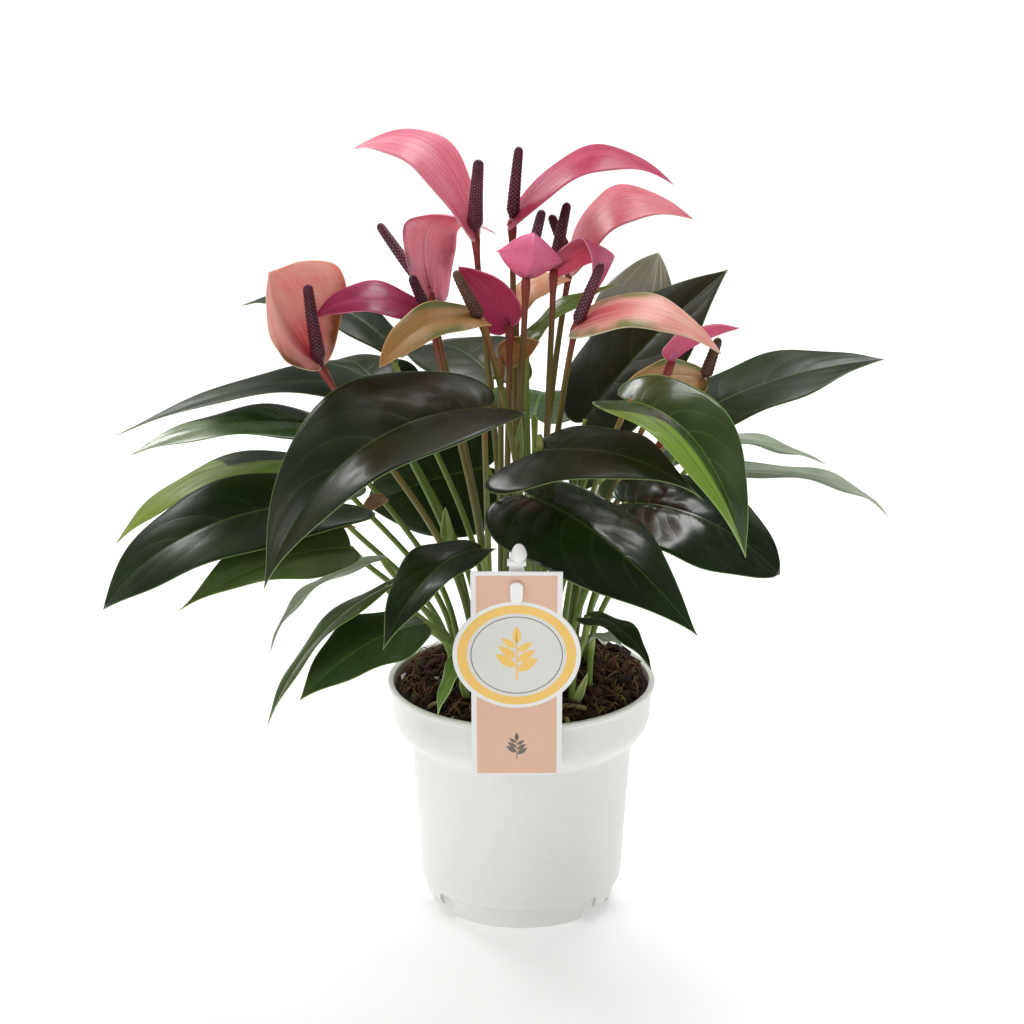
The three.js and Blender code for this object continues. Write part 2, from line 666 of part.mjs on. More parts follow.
/** The stake: its strip, a bar and a knob over the card, and a tongue through the card's slot. */
function makeStake() {
  const top = stakeTop();
  const slotMiddle = CARD_SLOT.fromTop + CARD_SLOT.height / 2 + STAKE.aboveCard;
  const tongueMiddle = slotMiddle + STAKE.tongue[2] / 2 - STAKE.bridge[2];
  const bar = leaningBox(STAKE.bar, [0, STAKE.bar[1] / 2, 1.5], CARD.lean, top);
  const bridge = leaningBox(STAKE.bridge, [0, 1.2, -slotMiddle], CARD.lean, top);
  const tongue = leaningBox(STAKE.tongue, [0, -1.9, -tongueMiddle], CARD.lean, top);
  const knob = turned(STAKE.knob, STAKE.knobTurns);
  knob.rotateX(degrees(CARD.lean));
  knob.translate(top.x + 1, top.y + 0.6, top.z + STAKE.bar[2] - 0.2);
  return stakeStrip(0).add(bar).add(bridge).add(tongue).add(solidOf(knob));
}

const plant = new THREE.Group();
plant.name = "potted_flamingo_flower";

/** Adds a solid to the plant as a named mesh with its own material. */
function add(name, solid, colour, roughness) {
  const material = new THREE.MeshStandardMaterial({ color: COLOURS[colour], roughness, metalness: 0 });
  material.side = THREE.DoubleSide;
  const mesh = new THREE.Mesh(geometryOf(solid), material);
  mesh.name = name;
  plant.add(mesh);
}

const feet = [...LEAVES, ...BLOOMS].map(({ foot }) => foot);

add("pot", makePot(), "pot", 0.45);
add("soil", makeSoil(feet, stakeStrip(GAP)), "soil", 0.95);
add("tag_card", makeCard(), "card", 0.5);
add("tag_stake", makeStake(), "stake", 0.4);

/** A leaf: its blade on its stem. */
function makeLeaf(leaf) {
  return makeBlade(leaf, LEAF_SHAPE, rowsFor(leaf)).add(makeStem(leaf, PETIOLE_RADIUS));
}

for (const leaf of LEAVES) {
  const twin = leaf.twin && makeLeaf({ ...leaf.twin, foot: leaf.foot });
  const solid = twin ? makeLeaf(leaf).add(twin) : makeLeaf(leaf);
  add(leaf.name, solid, leaf.young ? "youngLeaf" : "leaf", 0.35);
}

for (const bloom of BLOOMS) {
  const rows = rowsFor(bloom);
  const flower = makeBlade(bloom, SPATHE_SHAPE, rows).add(makeStem(bloom, STALK_RADIUS));
  const solid = bloom.spadixEnd ? flower.add(makeKnee(bloom)) : flower;
  add(`${bloom.name}_spathe`, solid, bloom.colour, 0.35);
  if (bloom.spadixEnd) add(`${bloom.name}_spadix`, makeSpadix(bloom, SPADIX.radius), "spadix", 0.6);
}

export default plant;
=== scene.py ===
"""Dresses a potted flamingo flower: its pot, soil, card, leaves and blooms, in soft studio light.

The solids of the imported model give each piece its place. Every leaf and bloom is worked out again here
from the same lines on a finer grid, with veins, ribs and its own colours. Sizes in the classes are in
millimetres, with the front towards -Y, and become metres as a mesh is made. A shade is a display
colour in red, green and blue from 0 to 255.
"""

import logging
import math
from dataclasses import dataclass, field
from enum import Enum

import bpy
import numpy as np
from mathutils import Matrix, Vector


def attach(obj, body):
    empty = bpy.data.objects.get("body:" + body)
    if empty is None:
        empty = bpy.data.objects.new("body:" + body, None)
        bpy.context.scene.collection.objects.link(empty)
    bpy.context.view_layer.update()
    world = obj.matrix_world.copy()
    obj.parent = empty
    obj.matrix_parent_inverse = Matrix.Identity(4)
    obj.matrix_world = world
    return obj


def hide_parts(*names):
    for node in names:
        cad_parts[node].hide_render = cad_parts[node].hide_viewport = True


log = logging.getLogger("flamingo_flower")
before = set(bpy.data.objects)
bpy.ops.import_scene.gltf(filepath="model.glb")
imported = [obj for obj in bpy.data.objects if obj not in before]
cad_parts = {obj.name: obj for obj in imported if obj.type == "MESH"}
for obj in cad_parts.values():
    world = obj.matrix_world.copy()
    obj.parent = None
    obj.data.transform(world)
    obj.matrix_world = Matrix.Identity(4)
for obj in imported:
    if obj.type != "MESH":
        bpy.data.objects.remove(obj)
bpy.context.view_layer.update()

MM = 0.001
BODY = "root"
Place = tuple[float, float]
Point = tuple[float, float, float]
Shade = tuple[int, int, int]
Colour = tuple[float, float, float, float]
Socket = bpy.types.NodeSocket
Finishes = dict[str, bpy.types.Material]
Shell = tuple[np.ndarray, list[np.ndarray]]


def srgb(shade: Shade) -> Colour:
    """Turns a shade into the linear colour that shaders take."""
    shares = np.array(shade) / 255
    linear = np.where(shares <= 0.04045, shares / 12.92, ((shares + 0.055) / 1.055) ** 2.4)
    return (*map(float, linear), 1.0)


def unit(vectors: np.ndarray) -> np.ndarray:
    """Scales vectors along the last axis to length 1: v / |v|."""
    return vectors / np.maximum(np.linalg.norm(vectors, axis=-1, keepdims=True), 1e-12)


def smooth(edge_from: float, edge_to: float, value: np.ndarray) -> np.ndarray:
    """The smooth step 3x^2 - 2x^3 of how far value is from one edge to the other."""
    share = np.clip((value - edge_from) / (edge_to - edge_from), 0, 1)
    return share * share * (3 - 2 * share)


def bow(start: np.ndarray, middle: np.ndarray, end: np.ndarray, t: np.ndarray) -> np.ndarray:
    """Points of the quadratic curve (1-t)^2 A + 2t(1-t) B + t^2 C."""
    return (1 - t) ** 2 * start + 2 * t * (1 - t) * middle + t**2 * end


# Meshes


@dataclass
class Draft:
    """Points, faces and the values painted on them, gathered until they become one object."""

    points: list[np.ndarray] = field(default_factory=list)
    faces: list[np.ndarray] = field(default_factory=list)
    slots: list[np.ndarray] = field(default_factory=list)
    maps: list[np.ndarray] = field(default_factory=list)
    paint: list[np.ndarray] = field(default_factory=list)
    count: int = 0

    def add(
        self, points: np.ndarray, faces: list[np.ndarray], uv: np.ndarray | None = None,
        paint: np.ndarray | None = None, slot: int = 0,
    ) -> None:
        """Adds one shell.

        Args:
            points: The places of its vertices, in millimetres, any shape that ends in 3.
            faces: Arrays of corner numbers, each of faces with 3 or 4 corners.
            uv: A pair of map coordinates for each vertex.
            paint: Three values for each vertex: side, reach from the rib and reach from the rim, or
                on a spadix the count of floret rows in the second.
            slot: The number of the material that its faces take.
        """
        flat = np.asarray(points, float).reshape(-1, 3)
        self.points.append(flat)
        for block in faces:
            self.faces.append(block.reshape(-1, block.shape[-1]) + self.count)
            self.slots.append(np.full(len(self.faces[-1]), slot))
        self.maps.append(np.zeros((len(flat), 2)) if uv is None else uv.reshape(-1, 2))
        self.paint.append(np.zeros((len(flat), 3)) if paint is None else paint.reshape(-1, 3))
        self.count += len(flat)

    def build(
        self, name: str, materials: list[bpy.types.Material], slot: str, node: str
    ) -> bpy.types.Object:
        """Makes the object, lets it ride on the plant's body and hides the node that it stands for.

        Args:
            name: The object's name.
            materials: Its materials, in the order of their slots.
            slot: The record's material slot; not used.
            node: The CAD node that it replaces.

        Returns:
            The object, at the origin, with its place in its mesh.
        """
        mesh = bpy.data.meshes.new(name)
        corners = np.concatenate([block.ravel() for block in self.faces])
        sizes = np.concatenate([np.full(len(block), block.shape[-1]) for block in self.faces])
        mesh.vertices.add(self.count)
        mesh.vertices.foreach_set("co", (np.concatenate(self.points) * MM).astype(np.float32).ravel())
        mesh.loops.add(len(corners))
        mesh.loops.foreach_set("vertex_index", corners.astype(np.int32))
        mesh.polygons.add(len(sizes))
        mesh.polygons.foreach_set("loop_start", (np.cumsum(sizes) - sizes).astype(np.int32))
        mesh.polygons.foreach_set("material_index", np.concatenate(self.slots).astype(np.int32))
        mesh.polygons.foreach_set("use_smooth", np.ones(len(sizes), bool))
        layer = mesh.uv_layers.new(name="UVMap")
        layer.uv.foreach_set("vector", np.concatenate(self.maps)[corners].astype(np.float32).ravel())
        paint = mesh.attributes.new("paint", "FLOAT_VECTOR", "POINT")
        paint.data.foreach_set("vector", np.concatenate(self.paint).astype(np.float32).ravel())
        mesh.update(calc_edges=True)
        mesh.validate()
        return install(bpy.data.objects.new(name, mesh), materials, node)


def install(
    made: bpy.types.Object, materials: list[bpy.types.Material], node: str
) -> bpy.types.Object:
    """Puts a finished object in the scene on the plant's body.

    Args:
        made: The object, with its place in its mesh.
        materials: Its materials, in the order of their slots.
        node: The CAD node that it replaces.

    Returns:
        The same object.
    """
    for material in materials:
        made.data.materials.append(material)
    bpy.context.scene.collection.objects.link(made)
    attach(made, BODY)
    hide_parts(node)
    log.info("%s: %d faces", made.name, len(made.data.polygons))
    return made


def grid_faces(rows: int, columns: int, wrap: bool = False) -> np.ndarray:
    """Corner numbers of the quads of a grid whose points run row by row.

    Args:
        rows: How many rows of points.
        columns: How many points in a row.
        wrap: Whether the last column meets the first.

    Returns:
        An array of quads, which face out for columns that turn to the left as rows rise.
    """
    row, column = np.meshgrid(np.arange(rows - 1), np.arange(columns - (not wrap)), indexing="ij")
    here = row * columns + column
    after = row * columns + (column + 1) % columns
    return np.stack([here, after, after + columns, here + columns], axis=-1).reshape(-1, 4)


def fan(pole: int, ring: np.ndarray) -> np.ndarray:
    """Triangles from a pole to each pair of neighbours in a closed ring of corner numbers."""
    return np.stack([np.full(len(ring), pole), ring, np.roll(ring, -1)], axis=-1)


def turned(radius: np.ndarray, height: np.ndarray, angle: np.ndarray) -> np.ndarray:
    """Points (r cos a, r sin a, z) of rings about Z."""
    return np.stack(np.broadcast_arrays(radius * np.cos(angle), radius * np.sin(angle), height), axis=-1)


def around(
    middle: np.ndarray, reach: np.ndarray, side: np.ndarray, other: np.ndarray, angle: np.ndarray
) -> np.ndarray:
    """Points round a line: middle + reach (cos a side + sin a other)."""
    spokes = np.cos(angle)[:, None] * side[..., None, :] + np.sin(angle)[:, None] * other[..., None, :]
    return middle[..., None, :] + reach[..., None] * spokes


def close_rings(rings: np.ndarray, first_pole: np.ndarray, last_pole: np.ndarray) -> Shell:
    """Closes a stack of rings with a pole at each end.

    Args:
        rings: Points by ring and by place round it.
        first_pole: The point before the first ring.
        last_pole: The point after the last ring.

    Returns:
        Its points and faces.
    """
    rows, turns = rings.shape[:2]
    size = rows * turns
    first = np.arange(turns)
    last = first + size - turns
    points = np.concatenate([rings.reshape(-1, 3), [first_pole, last_pole]])
    return points, [grid_faces(rows, turns, wrap=True), fan(size, first[::-1]), fan(size + 1, last)]


def rod_map(rows: int, sides: int) -> np.ndarray:
    """The map of closed rings: u round them, v along them, and the poles at u = 0.5."""
    u, v = np.meshgrid(np.arange(sides) / sides, np.linspace(0, 1, rows), indexing="xy")
    return np.concatenate([np.stack([u, v], axis=-1).reshape(-1, 2), [[0.5, 0.0], [0.5, 1.0]]])


def tube(
    path: np.ndarray, radii: np.ndarray, sides: int, across: np.ndarray, groove: float = 0.0
) -> tuple[np.ndarray, list[np.ndarray], np.ndarray]:
    """A round rod along a path: P(s) + r(s, a) (cos a side(s) + sin a other(s)), closed at both ends.

    Args:
        path: Points along its middle.
        radii: Its radius at each of them.
        sides: How many points go round.
        across: A direction that is never along the path, from which side(s) is worked out.
        groove: How deep a channel runs down one side, as a share of the radius.

    Returns:
        Its points, faces and map, with u round the rod and v along it.
    """
    nib, groove_width = 0.1, 0.6
    ahead = unit(np.gradient(path, axis=0))
    side = unit(np.cross(ahead, across))
    angle = np.linspace(0, 2 * math.pi, sides, endpoint=False)
    channel = 1 - groove * np.exp(-((np.minimum(angle, 2 * math.pi - angle) / groove_width) ** 2))
    rings = around(path, radii[:, None] * channel, side, np.cross(ahead, side), angle)
    points, faces = close_rings(rings, path[0] - ahead[0] * nib, path[-1] + ahead[-1] * nib)
    return points, faces, rod_map(len(path), sides)


def revolved(profile: np.ndarray, turns: int) -> Shell:
    """Turns a profile about Z: (r cos a, r sin a, z). Its first and last points are on the axis.

    Args:
        profile: Radii and heights, from the bottom up on the outer side.
        turns: How many points go round.

    Returns:
        Its points and faces.
    """
    angle = np.linspace(0, 2 * math.pi, turns, endpoint=False)
    rings = turned(profile[1:-1, :1], profile[1:-1, 1:], angle)
    return close_rings(rings, [0, 0, profile[0, 1]], [0, 0, profile[-1, 1]])


def rounded(profile: list[tuple[float, float, float]], steps: int = 5) -> np.ndarray:
    """Rounds the corners of a profile with quadratic arcs.

    Args:
        profile: Radius, height and rounding of each corner; no rounding at the ends.
        steps: Points of each arc.

    Returns:
        The rounded profile's radii and heights.
    """
    corners = np.array([(radius, height) for radius, height, _ in profile])
    made = [corners[:1]]
    share = np.linspace(0, 1, steps)[:, None]
    for index in range(1, len(profile) - 1):
        before, here, after = corners[index - 1 : index + 2]
        size = profile[index][2]
        if size <= 0:
            made.append(here[None, :])
            continue
        start = here + unit(before - here) * min(size, np.linalg.norm(before - here) / 2)
        end = here + unit(after - here) * min(size, np.linalg.norm(after - here) / 2)
        made.append(bow(start, here, end, share))
    made.append(corners[-1:])
    return np.concatenate(made)


# Shaders


class Bench:
    """Puts nodes into one node tree and wires them."""

    def __init__(self, tree: bpy.types.NodeTree) -> None:
        """Takes the tree to work on."""
        self.tree = tree

    def put(self, kind: str, **values: object) -> bpy.types.Node:
        """Adds a node.

        Args:
            kind: Its type, without the word ShaderNode.
            values: Inputs by name, with _ for a space, or settings in lower case.

        Returns:
            The node.
        """
        node = self.tree.nodes.new("ShaderNode" + kind)
        for name, value in values.items():
            if name[0].islower():
                setattr(node, name, value)
            else:
                self.feed(node.inputs[name.replace("_", " ")], value)
        return node

    def feed(self, socket: Socket, value: object) -> None:
        """Wires a socket into an input, or sets the input to a value."""
        if isinstance(value, bpy.types.NodeSocket):
            self.tree.links.new(value, socket)
        else:
            socket.default_value = value

    def math(self, operation: str, *values: object, clamp: bool = False) -> Socket:
        """Works out one sum and returns its result."""
        node = self.put("Math", operation=operation, use_clamp=clamp)
        for socket, value in zip(node.inputs, values):
            self.feed(socket, value)
        return node.outputs[0]

    def times(self, first: object, second: object) -> Socket:
        """Multiplies two values."""
        return self.math("MULTIPLY", first, second)

    def span(self, value: object, low: float, high: float, to_low: float = 0, to_high: float = 1) -> Socket:
        """Maps a value smoothly from one range to another, clamped at both ends."""
        node = self.put(
            "MapRange", interpolation_type="SMOOTHSTEP", Value=value,
            From_Min=low, From_Max=high, To_Min=to_low, To_Max=to_high,
        )
        return node.outputs["Result"]

    def mix(self, share: object, first: object, second: object) -> Socket:
        """Mixes two colours by a share and returns the result."""
        node = self.put("Mix", data_type="RGBA")
        for index, value in ((0, share), (6, first), (7, second)):
            self.feed(node.inputs[index], value)
        return node.outputs[2]

    def noise(self, vector: object, scale: object, detail: float = 3.0, rough: float = 0.5) -> Socket:
        """A noise value, mostly from 0.3 to 0.7."""
        node = self.put("TexNoise", Vector=vector, Scale=scale, Detail=detail, Roughness=rough)
        return node.outputs["Fac"]

    def stretched(self, vector: object, scale: Point, place: Point = (0, 0, 0)) -> Socket:
        """Scales and moves the coordinates of a pattern."""
        return self.put("Mapping", Vector=vector, Scale=scale, Location=place).outputs["Vector"]

    def split(self, vector: object) -> bpy.types.NodeOutputs:
        """Takes a vector apart into X, Y and Z."""
        return self.put("SeparateXYZ", Vector=vector).outputs

    def group(self, tree: bpy.types.NodeTree, **values: object) -> bpy.types.NodeOutputs:
        """Adds a node group, sets its inputs by name and returns its outputs."""
        node = self.tree.nodes.new("ShaderNodeGroup")
        node.node_tree = tree
        for name, value in values.items():
            self.feed(node.inputs[name], value)
        return node.outputs


def new_group(
    name: str, vectors: list[str], numbers: list[str], results: list[str]
) -> tuple[Bench, dict[str, Socket], dict[str, Socket]]:
    """Starts a shader node group.

    Args:
        name: The group's name.
        vectors: Names of the inputs that take coordinates.
        numbers: Names of the inputs that take numbers.
        results: Names of the outputs, all numbers.

    Returns:
        A bench on its tree, its inputs and what its outputs take, by name.
    """
    tree = bpy.data.node_groups.new(name, "ShaderNodeTree")
    for way, labels, kind in (
        ("INPUT", vectors, "Vector"), ("INPUT", numbers, "Float"), ("OUTPUT", results, "Float")
    ):
        for label in labels:
            tree.interface.new_socket(label, in_out=way, socket_type="NodeSocket" + kind)
    entry = tree.nodes.new("NodeGroupInput").outputs
    leave = tree.nodes.new("NodeGroupOutput").inputs
    return Bench(tree), {n: entry[n] for n in vectors + numbers}, {n: leave[n] for n in results}


def make_mottle() -> bpy.types.NodeTree:
    """Mottle: a soft drift and a finer speckle in one value from 0 to 1."""
    bench, given, out = new_group("Mottle", ["Vector"], ["Drift", "Speckle", "Share"], ["Value"])
    broad = bench.span(bench.noise(given["Vector"], given["Drift"], 2), 0.35, 0.65)
    fine = bench.span(bench.noise(given["Vector"], given["Speckle"], 4, 0.6), 0.3, 0.7)
    kept = bench.times(broad, bench.math("SUBTRACT", 1.0, given["Share"]))
    bench.feed(out["Value"], bench.math("ADD", kept, bench.times(fine, given["Share"]), clamp=True))
    return bench.tree


def make_veins() -> bpy.types.NodeTree:
    """Veins: masks of a blade's rib, side veins and rim, and where on the blade a point is.

    The rib fades with the reach from it. Side veins leave the rib at whole numbers of
    pairs (t - sweep |v|^1.2), where t^2 is the share of the length and v runs across.
    Along puts out t^2, Out puts out |v|, and Under is 1 on the lower side.
    """
    bench, given, out = new_group(
        "Veins", ["Map", "Paint"], ["Pairs", "Sweep", "Rib", "Rim"],
        ["Rib", "Side Veins", "Rim", "Under", "Along", "Out"],
    )
    place, paint = bench.split(given["Map"]), bench.split(given["Paint"])
    along = place["Y"]
    away = bench.math("ABSOLUTE", bench.math("SUBTRACT", bench.times(place["X"], 2.0), 1.0))
    bent = bench.times(bench.math("POWER", away, 1.2), given["Sweep"])
    phase = bench.times(bench.math("SUBTRACT", along, bent), given["Pairs"])
    near = bench.math("PINGPONG", phase, 0.5)
    fade = bench.math("SUBTRACT", 1.0, bench.times(away, 0.7))
    width = bench.times(given["Rib"], bench.math("SUBTRACT", 1.15, along))
    rib = bench.math("SUBTRACT", 1.0, bench.math("DIVIDE", paint["Y"], width), clamp=True)
    rim = bench.math("SUBTRACT", 1.0, bench.math("DIVIDE", paint["Z"], given["Rim"]), clamp=True)
    bench.feed(out["Rib"], bench.span(rib, 0.0, 0.7))
    bench.feed(out["Side Veins"], bench.times(bench.span(near, 0.0, 0.09, 1.0, 0.0), fade))
    bench.feed(out["Rim"], bench.span(rim, 0.0, 0.8))
    bench.feed(out["Under"], bench.span(paint["X"], 0.1, -0.1))
    bench.feed(out["Along"], bench.times(along, along))
    bench.feed(out["Out"], away)
    return bench.tree


def make_grain() -> bpy.types.NodeTree:
    """Grain: a fine height for bump, from two noises, the second five times finer."""
    bench, given, out = new_group("Grain", ["Vector"], ["Scale"], ["Height"])
    coarse = bench.noise(given["Vector"], given["Scale"], 2.0)
    fine = bench.noise(given["Vector"], bench.times(given["Scale"], 5.0), 2.0)
    bench.feed(out["Height"], bench.math("ADD", coarse, bench.times(fine, 0.4)))
    return bench.tree


MOTTLE = make_mottle()
VEINS = make_veins()
GRAIN = make_grain()


class Surface:
    """A material with its Principled shader, the bench that feeds it and the coordinates it reads."""

    def __init__(self, name: str, rough: float, **constants: float) -> None:
        """Starts the material.

        Args:
            name: The material's name.
            rough: Its roughness, where nothing else is wired in.
            constants: Values set on the shader's own sockets, with _ for a space.
        """
        self.material = bpy.data.materials.new(name)
        self.material.use_nodes = True
        self.bench = Bench(self.material.node_tree)
        self.shader = self.material.node_tree.nodes["Principled BSDF"]
        for label, value in {"Roughness": rough, **constants}.items():
            self.shader.inputs[label.replace("_", " ")].default_value = value
        self.place = self.bench.put("TexCoord").outputs["Object"]
        self.map = self.bench.put("UVMap", uv_map="UVMap").outputs["UV"]
        self.paint = self.bench.put("Attribute", attribute_name="paint").outputs["Vector"]

    def mottle(self, drift: float, speckle: float, share: float) -> Socket:
        """The Mottle value at two pattern scales, with the speckle's share."""
        values = self.bench.group(MOTTLE, Vector=self.place, Drift=drift, Speckle=speckle, Share=share)
        return values["Value"]

    def veins(self, pairs: float, sweep: float, rib: float, rim: float) -> bpy.types.NodeOutputs:
        """The Veins masks, with the widths of rib and rim in millimetres."""
        return self.bench.group(
            VEINS, Map=self.map, Paint=self.paint, Pairs=pairs, Sweep=sweep, Rib=rib, Rim=rim
        )

    def grain(self, scale: float) -> Socket:
        """The Grain height at a pattern scale."""
        return self.bench.group(GRAIN, Vector=self.place, Scale=scale)["Height"]

    def dress(self, colour: object, rough: object) -> bpy.types.Material:
        """Wires the colour and the roughness in and returns the material."""
        self.bench.feed(self.shader.inputs["Base Color"], colour)
        self.bench.feed(self.shader.inputs["Roughness"], rough)
        return self.material

    def bump(self, height: object, depth: float, strength: float = 1.0) -> None:
        """Wires a height of 0 to 1 in as bump, depth in millimetres."""
        node = self.bench.put("Bump", Strength=strength, Distance=depth * MM, Height=height)
        self.bench.feed(self.shader.inputs["Normal"], node.outputs["Normal"])


@dataclass(frozen=True)
class LeafFinish:
    """Shades and gloss of a leaf's blade.

    A side whose shade is near is lighter from its margin in to near_edge, and from near_from of the length
    on it widens by near_spread. A tail shade covers the end, and sheen streaks are painted streaks of
    reflection.
    """

    name: str
    top: Shade
    drift: Shade
    under: Shade
    vein: Shade
    rim: Shade
    rough: float = 0.42
    coat: float = 0.08
    vein_share: float = 0.14
    near: Shade | None = None
    near_right: bool = False
    near_edge: float = 0.48
    near_spread: float = 0.0
    near_from: float = 0.35
    tail: Shade | None = None
    tail_from: float = 0.56
    tail_share: float = 0.85
    sheen_streaks: float = 0.0
    slot: str = "leaf"

    def build(self) -> bpy.types.Material:
        """Makes the waxy, veined blade, paler beneath, with its lighter side, tail and painted sheen
        streaks.
        """
        made = Surface(
            self.name, self.rough, Specular_IOR_Level=0.3, Coat_Weight=self.coat, Coat_Roughness=0.15
        )
        bench = made.bench
        vein, rim = srgb(self.vein), srgb(self.rim)
        veins = made.veins(pairs=8.0, sweep=0.3, rib=1.3, rim=0.55)
        mottle = made.mottle(28.0, 300.0, 0.1)
        top = bench.mix(mottle, srgb(self.top), srgb(self.drift))
        across = bench.split(made.map)["X"]
        streaks = bench.noise(bench.stretched(made.map, (16.0, 1.3, 1.0)), 1.0, 3)
        if self.near is not None:
            reach = bench.math("SUBTRACT", 1.0, across) if self.near_right else across
            spread = bench.span(veins["Along"], self.near_from, self.near_from + 0.2, 0.0, self.near_spread)
            edge = bench.math("ADD", spread, self.near_edge)
            half = bench.span(bench.math("SUBTRACT", reach, edge), 0.03, -0.03)
            streaked = bench.span(streaks, 0.35, 0.65, 1.0, 0.6)
            top = bench.mix(bench.times(half, streaked), top, srgb(self.near))
        if self.tail is not None:
            tail = bench.span(veins["Along"], self.tail_from, self.tail_from + 0.14, 0.0, self.tail_share)
            top = bench.mix(tail, top, srgb(self.tail))
        # Painted sheen: pale streaks of reflection, mixed toward the rim shade.
        if self.sheen_streaks:
            top = bench.mix(bench.span(streaks, 0.5, 0.66, 0.0, self.sheen_streaks), top, rim)
        top = bench.mix(bench.times(veins["Side Veins"], self.vein_share), top, vein)
        top = bench.mix(bench.times(veins["Rib"], 0.6), top, vein)
        under = bench.mix(bench.times(mottle, 0.4), srgb(self.under), vein)
        under = bench.mix(bench.times(veins["Side Veins"], 0.5), under, vein)
        body = bench.mix(veins["Under"], top, under)
        brushed = bench.math("ADD", bench.times(streaks, 0.5), bench.noise(made.place, 60, 3))
        wear = bench.span(brushed, 0.55, 0.95, self.rough - 0.08, self.rough + 0.1)
        height = bench.math("SUBTRACT", bench.times(made.grain(700.0), 0.1), veins["Side Veins"])
        made.bump(height, 0.12, 0.5)
        return made.dress(
            bench.mix(bench.times(veins["Rim"], 0.8), body, rim),
            bench.math("ADD", wear, bench.times(veins["Under"], 0.2)),
        )


@dataclass(frozen=True)
class SpatheFinish:
    """Shades and gloss of a spathe, with a heart at its base and, on some, patches along the outer margins:
    green on most, a painted shade of a rolled margin on the painted-lit pink.
    """

    name: str
    slot: str
    inner: Shade
    drift: Shade
    outer: Shade
    fibre: Shade
    heart: Shade
    rim: Shade
    margin_green_and_shade: Shade = (112, 124, 56)
    margin_green_and_shade_share: float = 0.0
    fibre_share: float = 0.45
    heart_reach: float = 0.16
    rough: float = 0.42
    coat: float = 0.04

    def build(self) -> bpy.types.Material:
        """Makes the waxy spathe, with fibres that run from its base to its tip."""
        made = Surface(
            self.name, self.rough, Specular_IOR_Level=0.25, Coat_Weight=self.coat, Coat_Roughness=0.2,
            Subsurface_Weight=0.35, Subsurface_Scale=0.003,
        )
        bench = made.bench
        drift = srgb(self.drift)
        veins = made.veins(pairs=5.0, sweep=0.8, rib=1.2, rim=0.8)
        fibres = bench.span(bench.noise(bench.stretched(made.map, (26.0, 1.6, 1.0)), 1.0, 3), 0.42, 0.72)
        mottle = made.mottle(70.0, 520.0, 0.3)
        inner = bench.mix(mottle, srgb(self.inner), drift)
        outer = bench.mix(bench.times(mottle, 0.6), srgb(self.outer), drift)
        body = bench.mix(veins["Under"], inner, outer)
        body = bench.mix(bench.times(fibres, self.fibre_share), body, srgb(self.fibre))
        rays = bench.noise(bench.stretched(made.map, (15.0, 0.7, 1.0), (3, 1, 0)), 1.0, 2)
        rays = bench.span(rays, 0.4, 0.6, 0.25)
        base = bench.times(bench.span(veins["Along"], self.heart_reach, 0.02), rays)
        middle = bench.span(veins["Out"], 0.8, 0.1)
        body = bench.mix(bench.times(bench.times(base, middle), 0.9), body, srgb(self.heart))
        # Patches along the lower margins: the spathe's own green on most tones, painted shade of a rolled
        # margin on the painted-lit pink.
        side = bench.span(veins["Out"], 0.35, 0.95)
        low = bench.span(veins["Along"], 0.8, 0.35)
        patch = bench.times(bench.span(bench.noise(made.place, 45, 3), 0.3, 0.6), self.margin_green_and_shade_share)
        share = bench.math("MULTIPLY", bench.times(side, low), patch, clamp=True)
        body = bench.mix(share, body, srgb(self.margin_green_and_shade))
        made.bump(bench.math("ADD", bench.times(made.grain(800.0), 0.25), fibres), 0.14, 0.5)
        return made.dress(
            bench.mix(bench.times(veins["Rim"], 0.7), body, srgb(self.rim)),
            bench.span(mottle, 0.0, 1.0, self.rough - 0.05, self.rough + 0.1),
        )


@dataclass(frozen=True)
class StemFinish:
    """Shades of a stem from its foot, through its middle, to its top."""

    name: str
    low: Shade
    middle: Shade
    high: Shade
    rough: float = 0.38

    def build(self) -> bpy.types.Material:
        """Makes the smooth, faintly streaked stem."""
        made = Surface(self.name, self.rough, Specular_IOR_Level=0.45)
        bench = made.bench
        low = srgb(self.low)
        drift = bench.times(bench.math("SUBTRACT", bench.noise(made.place, 25, 2), 0.5), 0.25)
        along = bench.math("ADD", bench.split(made.map)["Y"], drift)
        colour = bench.mix(bench.span(along, 0.1, 0.62), low, srgb(self.middle))
        colour = bench.mix(bench.span(along, 0.72, 0.98), colour, srgb(self.high))
        streaks = bench.noise(bench.stretched(made.map, (9.0, 3.0, 1.0)), 3.0, 3)
        colour = bench.mix(bench.span(streaks, 0.45, 0.8, 0.0, 0.45), colour, low)
        made.bump(streaks, 0.15, 0.5)
        return made.dress(colour, bench.span(streaks, 0.3, 0.7, self.rough - 0.06, self.rough + 0.1))


